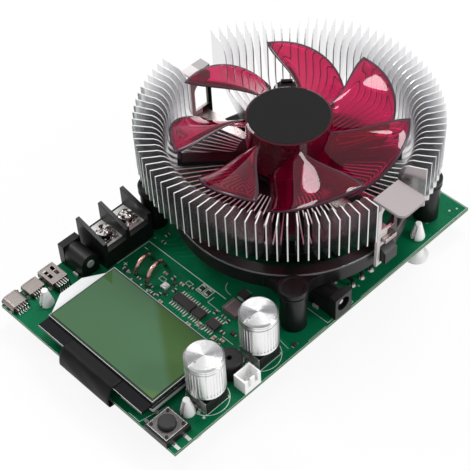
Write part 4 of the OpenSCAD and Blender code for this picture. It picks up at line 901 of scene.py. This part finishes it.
def lampPart(work, u, v, wide, deep, tall):
    block(work, u, v, 0, (wide, deep, tall * lampValues["base"]), 3, lampValues["edge"])
    tab = [size * share for size, share in zip((wide, deep, tall), lampValues["tab"])]
    for side in (-1, 1):
        block(work, u, v + side * deep * lampValues["tabOut"], 0, tab, 1)
    rings = []
    for radius, rise in lampValues["dome"]:
        rings.append([onBoard(*p, tall * rise) for p in circle(u, v, radius, lampValues["steps"])])
    loft(work, rings, 3)


def endedPart(work, u, v, wide, deep, tall, make):
    # a body between two tinned ends, along its longer side
    long, broad = max(wide, deep), min(wide, deep)

    def put(at, low, size, paint, edge):
        if wide > deep:
            block(work, u + at, v, low, size, paint, edge)
        else:
            block(work, u, v + at, low, (size[1], size[0], size[2]), paint, edge)

    bodyLong, bodyBroad = make["body"]
    bodyTall = tall - make["under"] - make["over"]
    put(0, make["under"], (long * bodyLong, broad * bodyBroad, bodyTall), make["paint"], make["edge"])
    end = endValues["share"] * long
    endBroad, endTall = make["ends"]
    for side in (-1, 1):
        put(side * (long - end) / 2, 0, (end, broad * endBroad, tall * endTall), 1, endValues["edge"])


def smallParts(work):
    for make, parts in partValues.items():
        for part in parts:
            if make == "lamp":
                lampPart(work, *part)
            else:
                endedPart(work, *part, makeValues[make])


# black ribbon that folds over the board's front edge: points of its middle line along v and z
ribbonValues = {
    "path": [(5.4, 7.69), (3.2, 7.69), (1.5, 7.68), (0.2, 7.3), (-0.9, 6.0), (-1.7, 4.2), (-2.25, 2.2),
             (-2.46, 0.4), (-2.3, -0.9), (-1.6, -1.7), (-0.2, -1.87), (2.6, -1.87), (5.9, -1.87)],
    "thick": 0.3, "steps": 5, "across": 36,
    # it hangs free ahead of one v and over one z, and waves there: share, turns across and turns down
    "freeAhead": 1.4, "freeOver": -1.2, "ease": 2, "wave": 0.07, "waves": [(1, 9, 0.9), (0.6, 23, -0.5)],
}


def curvePoint(around, t):
    a, b, c, d = around
    bend = (2 * a - 5 * b + 4 * c - d) * t ** 2 + (3 * b - a - 3 * c + d) * t ** 3
    return 0.5 * (2 * b + (c - a) * t + bend)


def smoothPath(points, steps):
    made = []
    last = len(points) - 1
    for i in range(last):
        around = [Vector(points[min(max(i + k, 0), last)]) for k in (-1, 0, 1, 2)]
        made += [curvePoint(around, j / steps) for j in range(steps)]
    return made + [Vector(points[-1])]


def clamp(value):
    return max(0, min(1, value))


def ribbonFold(work):
    (u0, _, _), (u1, _, _) = boardBox("lcd_ribbon")
    path = smoothPath(ribbonValues["path"], ribbonValues["steps"])
    count, half, ease = ribbonValues["across"], ribbonValues["thick"] / 2, ribbonValues["ease"]
    rings = []
    for i, p in enumerate(path):
        run = (path[min(i + 1, len(path) - 1)] - path[max(i - 1, 0)]).normalized()
        side = Vector((-run.y, run.x))
        ahead, over = ribbonValues["freeAhead"] - p.x, p.y - ribbonValues["freeOver"]
        free = clamp(ahead / ease) * clamp(over / ease)
        upper, under = [], []
        for j in range(count + 1):
            f = j / count
            waves = sum(share * sin(across * f + down * p.y) for share, across, down in ribbonValues["waves"])
            middle = p + side * (ribbonValues["wave"] * free * waves)
            for skin, offset in ((upper, half), (under, -half)):
                q = middle + side * offset
                skin.append(onBoard(u0 + f * (u1 - u0), q.x, q.y))
        rings.append(upper + under[::-1])
    loft(work, rings)


# painted highlight: a bright line along the edge of the front glass, and one along the front of the rear
# glass
glassValues = {"line": 0.2, "high": 0.05, "ledgeLine": 0.16, "ledgeIn": 0.1, "ledgeHigh": 0.03}


def glassEdge(work):
    (u0, v0, _), (u1, v1, z) = boardBox("lcd_front_glass")
    half = glassValues["line"] / 2
    strip(work, corners(u0 + half, v0 + half, u1 - half, v1 - half),
          glassValues["line"], z, z + glassValues["high"], 0, True)
    (_, v0, _), (_, _, z) = boardBox("lcd_rear_glass")
    inset = glassValues["ledgeIn"]
    strip(work, [(u0 + inset, v0 + inset), (u1 - inset, v0 + inset)],
          glassValues["ledgeLine"], z, z + glassValues["ledgeHigh"])


# what shows around the sockets: black rear blocks, bent leads, legs and lips
socketValues = {
    # depth of the rear block and its share of the shell's height
    "rears": {"flat_port_shell": (1.3, 0.6), "small_port_shell": (1.2, 0.7), "tall_port_shell": (2.5, 0.85)},
    "rearIn": 1.4, "rearEdge": 0.15,
    "leads": 5, "leadIn": 2.2, "leadShare": 0.42, "leadOver": 0.1, "leadDrop": 0.12, "leadEdge": 0.03,
    "foot": (1.1, 0.14), "footOut": 0.6, "footShare": 0.5,
    "leg": (1.5, 0.34, 0.6), "legOut": 0.16, "legEdge": 0.1,
    "lipDeep": 0.6, "lipThick": 0.25, "lipOut": 0.08, "lipFrom": 0.3, "lipTall": 0.45, "lipEdge": 0.05,
    "browShare": 0.7, "browHigh": 0.12, "browEdge": 0.04,
}


def socketLeads(work, u, middle, wide, deep, high):
    values = socketValues
    count = values["leads"]
    over, drop, edge = values["leadOver"], values["leadDrop"], values["leadEdge"]
    footLong, footHigh = values["foot"]
    pitch = (wide - values["leadIn"]) / count
    leadWide, footWide = pitch * values["leadShare"], pitch * values["footShare"]
    for i in range(count):
        v = middle + (i - (count - 1) / 2) * pitch
        block(work, u + deep / 2, v, high, (deep, leadWide, over), 2, edge)
        block(work, u + deep + drop / 2, v, 0, (drop, leadWide, high + over), 2, edge)
        block(work, u + deep + values["footOut"], v, 0, (footLong, footWide, footHigh), 2, edge)


def socketDetail(work):
    values = socketValues
    for name, (deep, share) in values["rears"].items():
        (_, v0, _), (u1, v1, high) = boardBox(name)
        middle, wide = (v0 + v1) / 2, v1 - v0
        rear = (deep, wide - values["rearIn"], high * share)
        block(work, u1 + deep / 2, middle, 0, rear, 1, values["rearEdge"])
        socketLeads(work, u1, middle, wide, deep, high * share)
        lipDeep = values["lipDeep"]
        lip = (lipDeep, values["lipThick"], high * values["lipTall"])
        for v, side in ((v0, -1), (v1, 1)):
            for leg in portLegs:
                block(work, u1 * leg, v + side * values["legOut"], 0, values["leg"], 0, values["legEdge"])
            block(work, lipDeep / 2, v + side * values["lipOut"], high * values["lipFrom"],
                  lip, 0, values["lipEdge"])
        brow = (lipDeep, wide * values["browShare"], values["browHigh"])
        block(work, lipDeep / 2, middle, high, brow, 0, values["browEdge"])


# metal fronts of the two controls with folded ears and soldered lugs
controlValues = {
    "tall": 6.0, "thick": 0.3, "plateUp": 0.5, "plateIn": 0.4, "plateEdge": 0.1,
    "earWide": 0.7, "earDeep": 0.48, "earOver": 0.05, "earIn": 0.45, "earOut": 0.27, "earEdge": 0.12,
    "lug": (1.1, 0.9, 0.9), "lugOut": 0.75, "lugEdge": 0.2,
    "tip": (0.88, 0.3, 1.5), "tipOut": 1.2, "tipEdge": 0.1,
}


def controlPlates(work):
    values = controlValues
    tall, thick, lift = (values[key] for key in ("tall", "thick", "plateUp"))
    ear = (values["earWide"], values["earDeep"], tall + values["earOver"])
    for name in controls:
        u = boardPlace(name)[0]
        (u0, v0, _), (u1, _, _) = boardBox(name)
        wide = u1 - u0
        plate = (wide - values["plateIn"], thick, tall - lift)
        block(work, u, v0 - thick / 2, lift, plate, 0, values["plateEdge"])
        for side in (-1, 1):
            block(work, u + side * (wide / 2 - values["earIn"]), v0 - values["earOut"], 0,
                  ear, 0, values["earEdge"])
        for du in controlLugs:
            for part in ("lug", "tip"):
                block(work, u + du, v0 - values[part + "Out"], 0, values[part], 0, values[part + "Edge"])


# painted highlight: a bright strip along the edge of the switch's cover; and the dark heads of its rivets
switchValues = {"rim": 0.22, "rimHigh": 0.06, "rimDown": 0.3, "head": 0.65, "headIn": 1.2, "headHigh": 0.04}


def switchTrim(work):
    u, v = boardPlace("switch_cover")
    (u0, _, _), (u1, _, top) = boardBox("switch_cover")
    half = (u1 - u0) / 2
    face = top - switchValues["rimDown"]
    edge = half - switchValues["rim"] / 2
    strip(work, corners(u - edge, v - edge, u + edge, v + edge),
          switchValues["rim"], face, face + switchValues["rimHigh"], 0, True)
    out = half - switchValues["headIn"]
    for headU, headV in corners(u - out, v - out, u + out, v + out):
        disc(work, headU, headV, switchValues["head"], top, top + switchValues["headHigh"], 1)


# bent wire shunts: middle, turn in degrees and radius of the bend, then radius of the wire
shuntValues = {
    "shunts": [((26.2, 52.4), 97, 5.2), ((33.3, 52.3), 101, 6.2)],
    "wire": 0.95, "bends": 36, "sides": 16,
}


def shuntWires(work):
    section = circle(0, 0, shuntValues["wire"], shuntValues["sides"])
    for middle, turn, radius in shuntValues["shunts"]:
        ahead = Vector((cos(radians(turn)), sin(radians(turn)), 0))
        beside = Vector((-ahead.y, ahead.x, 0))
        rings = []
        for i in range(shuntValues["bends"] + 1):
            bend = pi * i / shuntValues["bends"]
            out = ahead * cos(bend) + Vector((0, 0, sin(bend)))
            rings.append([onBoard(*middle) + (out * (radius + x) + beside * y) * mm for x, y in section])
        loft(work, rings)


# rounded lip on the bracket's ring, in millimetres round the fan's axis
lipValues = {"ring": 48.3, "high": 18.7, "radius": 0.4, "steps": 180, "sides": 10}


def bracketLip(work):
    section = circle(lipValues["ring"], lipValues["high"], lipValues["radius"], lipValues["sides"])
    rings = []
    for x, y in circle(0, 0, 1, lipValues["steps"]):
        rings.append([Vector((fanAt.x + x * reach * mm, fanAt.y + y * reach * mm, boardHigh.z + high * mm))
                      for reach, high in section])
    loft(work, rings, 0, True)


# dimples on the chips, the bar on the diode and the jacks' soldered tabs
markValues = {
    "dimple": 0.32, "dimpleAt": (0.1, 0.75), "dimpleSteps": 14, "high": 0.02,
    "bar": (0.5, 5.6), "barOut": 2.5, "tab": (2.8, 0.8, 1.5), "tabAside": 3, "tabOut": 0.5, "tabEdge": 0.1,
}


def partMarks(work):
    high = markValues["high"]
    (_, v0, _), (_, _, top) = boardBox("chip_bodies")
    du, dv = markValues["dimpleAt"]
    for first, _ in chipRows:
        disc(work, first + du, v0 + dv, markValues["dimple"], top, top + high, 0, markValues["dimpleSteps"])
    u, v = boardPlace("power_diode")
    top = boardBox("power_diode")[1][2]
    block(work, u - markValues["barOut"], v, top, (*markValues["bar"], high), 1)
    for name, side in (("load_jack_body", 1), ("supply_jack_body", -1)):
        (u0, v0, _), (u1, _, _) = boardBox(name)
        block(work, (u0 + u1) / 2 + side * markValues["tabAside"], v0 - markValues["tabOut"], 0,
              markValues["tab"], 2, markValues["tabEdge"])


# fan blades, following the solid's own curves: lengths in millimetres, angles in degrees
fanValues = {
    "count": 7, "hub": (hubHigh.x - hubLow.x) / 2 / mm, "sunk": 0.15, "tip": 46.5, "trim": 10.3,
    "top": hubHigh.z / mm - 1.6, "arch": 0.9, "archTurn": 110, "thick": 1.6, "turn": 18.4,
    "chord": 40, "tipChord": 50.8, "sweep": 23.6, "rise": 15.2, "across": 28, "along": 30,
    "trimPower": 3.2, "risePower": 1.1, "edgeThin": 0.3, "edgeEase": 5, "tipEase": 9,
}


def bladePoint(s, t, under):
    # s runs from the hub to the tip, t from the leading edge to the trailing one
    values = fanValues
    hub = values["hub"] - values["sunk"]
    wide = values["chord"] + (values["tipChord"] - values["chord"]) * s
    turn = radians(values["turn"] + values["sweep"] * sin(pi / 2 * s) - t * wide)
    radius = hub + s * (values["tip"] - values["trim"] * t ** values["trimPower"] - hub)
    arch = values["arch"] * sin(radians(values["archTurn"]) * s)
    z = values["top"] + arch - values["rise"] * t ** (values["risePower"] * (1 + s))
    # the sheet thins towards its free edges
    fromEdge = min(values["edgeEase"] * t, values["edgeEase"] * (1 - t), values["tipEase"] * (1 - s))
    thin = min(1, values["edgeThin"] + fromEdge)
    z -= values["thick"] * (0.5 + (0.5 if under else -0.5) * thin)
    return Vector((radius * cos(turn), radius * sin(turn), z))


def fanBlades(work):
    across, along = fanValues["across"], fanValues["along"]
    for k in range(fanValues["count"]):
        turn = Matrix.Rotation(2 * pi * k / fanValues["count"], 3, "Z")
        rings = []
        for i in range(along + 1):
            s = i / along
            ring = [bladePoint(s, j / across, False) for j in range(across + 1)]
            ring += [bladePoint(s, j / across, True) for j in range(across, -1, -1)]
            rings.append([turn @ p * mm + Vector((fanAt.x, fanAt.y, 0)) for p in ring])
        # painted shade: a dark rim runs round the free edges, where the clear red looks dark
        for i, face in enumerate(loft(work, rings)):
            row, column = divmod(i, 2 * (across + 1))
            place = min(column, 2 * across + 1 - column)
            if row >= along - 1 or place < 1 or place >= across - 1:
                face.material_index = 1


# black disc on the hub
discValues = {"radius": 16.1, "chamfer": 0.25, "thick": 0.14, "steps": 72}


def hubDisc(work):
    rings = []
    for inset, up in ((0, 0), (discValues["chamfer"], discValues["thick"])):
        outline = circle(fanAt.x, fanAt.y, (discValues["radius"] - inset) * mm, discValues["steps"])
        rings.append([Vector((x, y, hubHigh.z + up * mm)) for x, y in outline])
    loft(work, rings)


print("camera, light and floor")
placeCamera()
hangLights()
whiteRoom()
layFloor()
print("finishes on the solids")
dressNodes()
roundEdges()
print("board print, copper and small parts")
newPiece("boardPrint", "base", boardPrint, ["print"])
newPiece("boardCopper", "base", boardCopper, ["trace", "solder", "chip"])
newPiece(
    "smallParts", "base", smallParts, ["ceramic", "solder", "chip", "nylon"], ["small_parts"])
newPiece("partMarks", "base", partMarks, ["button", "stripe", "solder"])
newPiece("shuntWires", "base", shuntWires, ["copper"], ["current_shunts"], True)
newPiece("bracketLip", "base", bracketLip, ["lip"], smooth=True)
print("display, sockets, controls and switch")
newPiece("ribbonFold", "base", ribbonFold, ["ribbon"], ["lcd_ribbon"], True)
newPiece("glassEdge", "base", glassEdge, ["cut"])
newPiece("socketDetail", "base", socketDetail, ["shell", "black", "tin"])
newPiece("controlPlates", "base", controlPlates, ["rim"])
newPiece("switchTrim", "base", switchTrim, ["rim", "black"])
print("fan")
newPiece("fanBlades", "fan_rotor", fanBlades, ["red", "paintedShadeRim"], ["fan_blades"], True)
newPiece("hubDisc", "fan_rotor", hubDisc, ["disc"])

scene.view_settings.view_transform = "Standard"
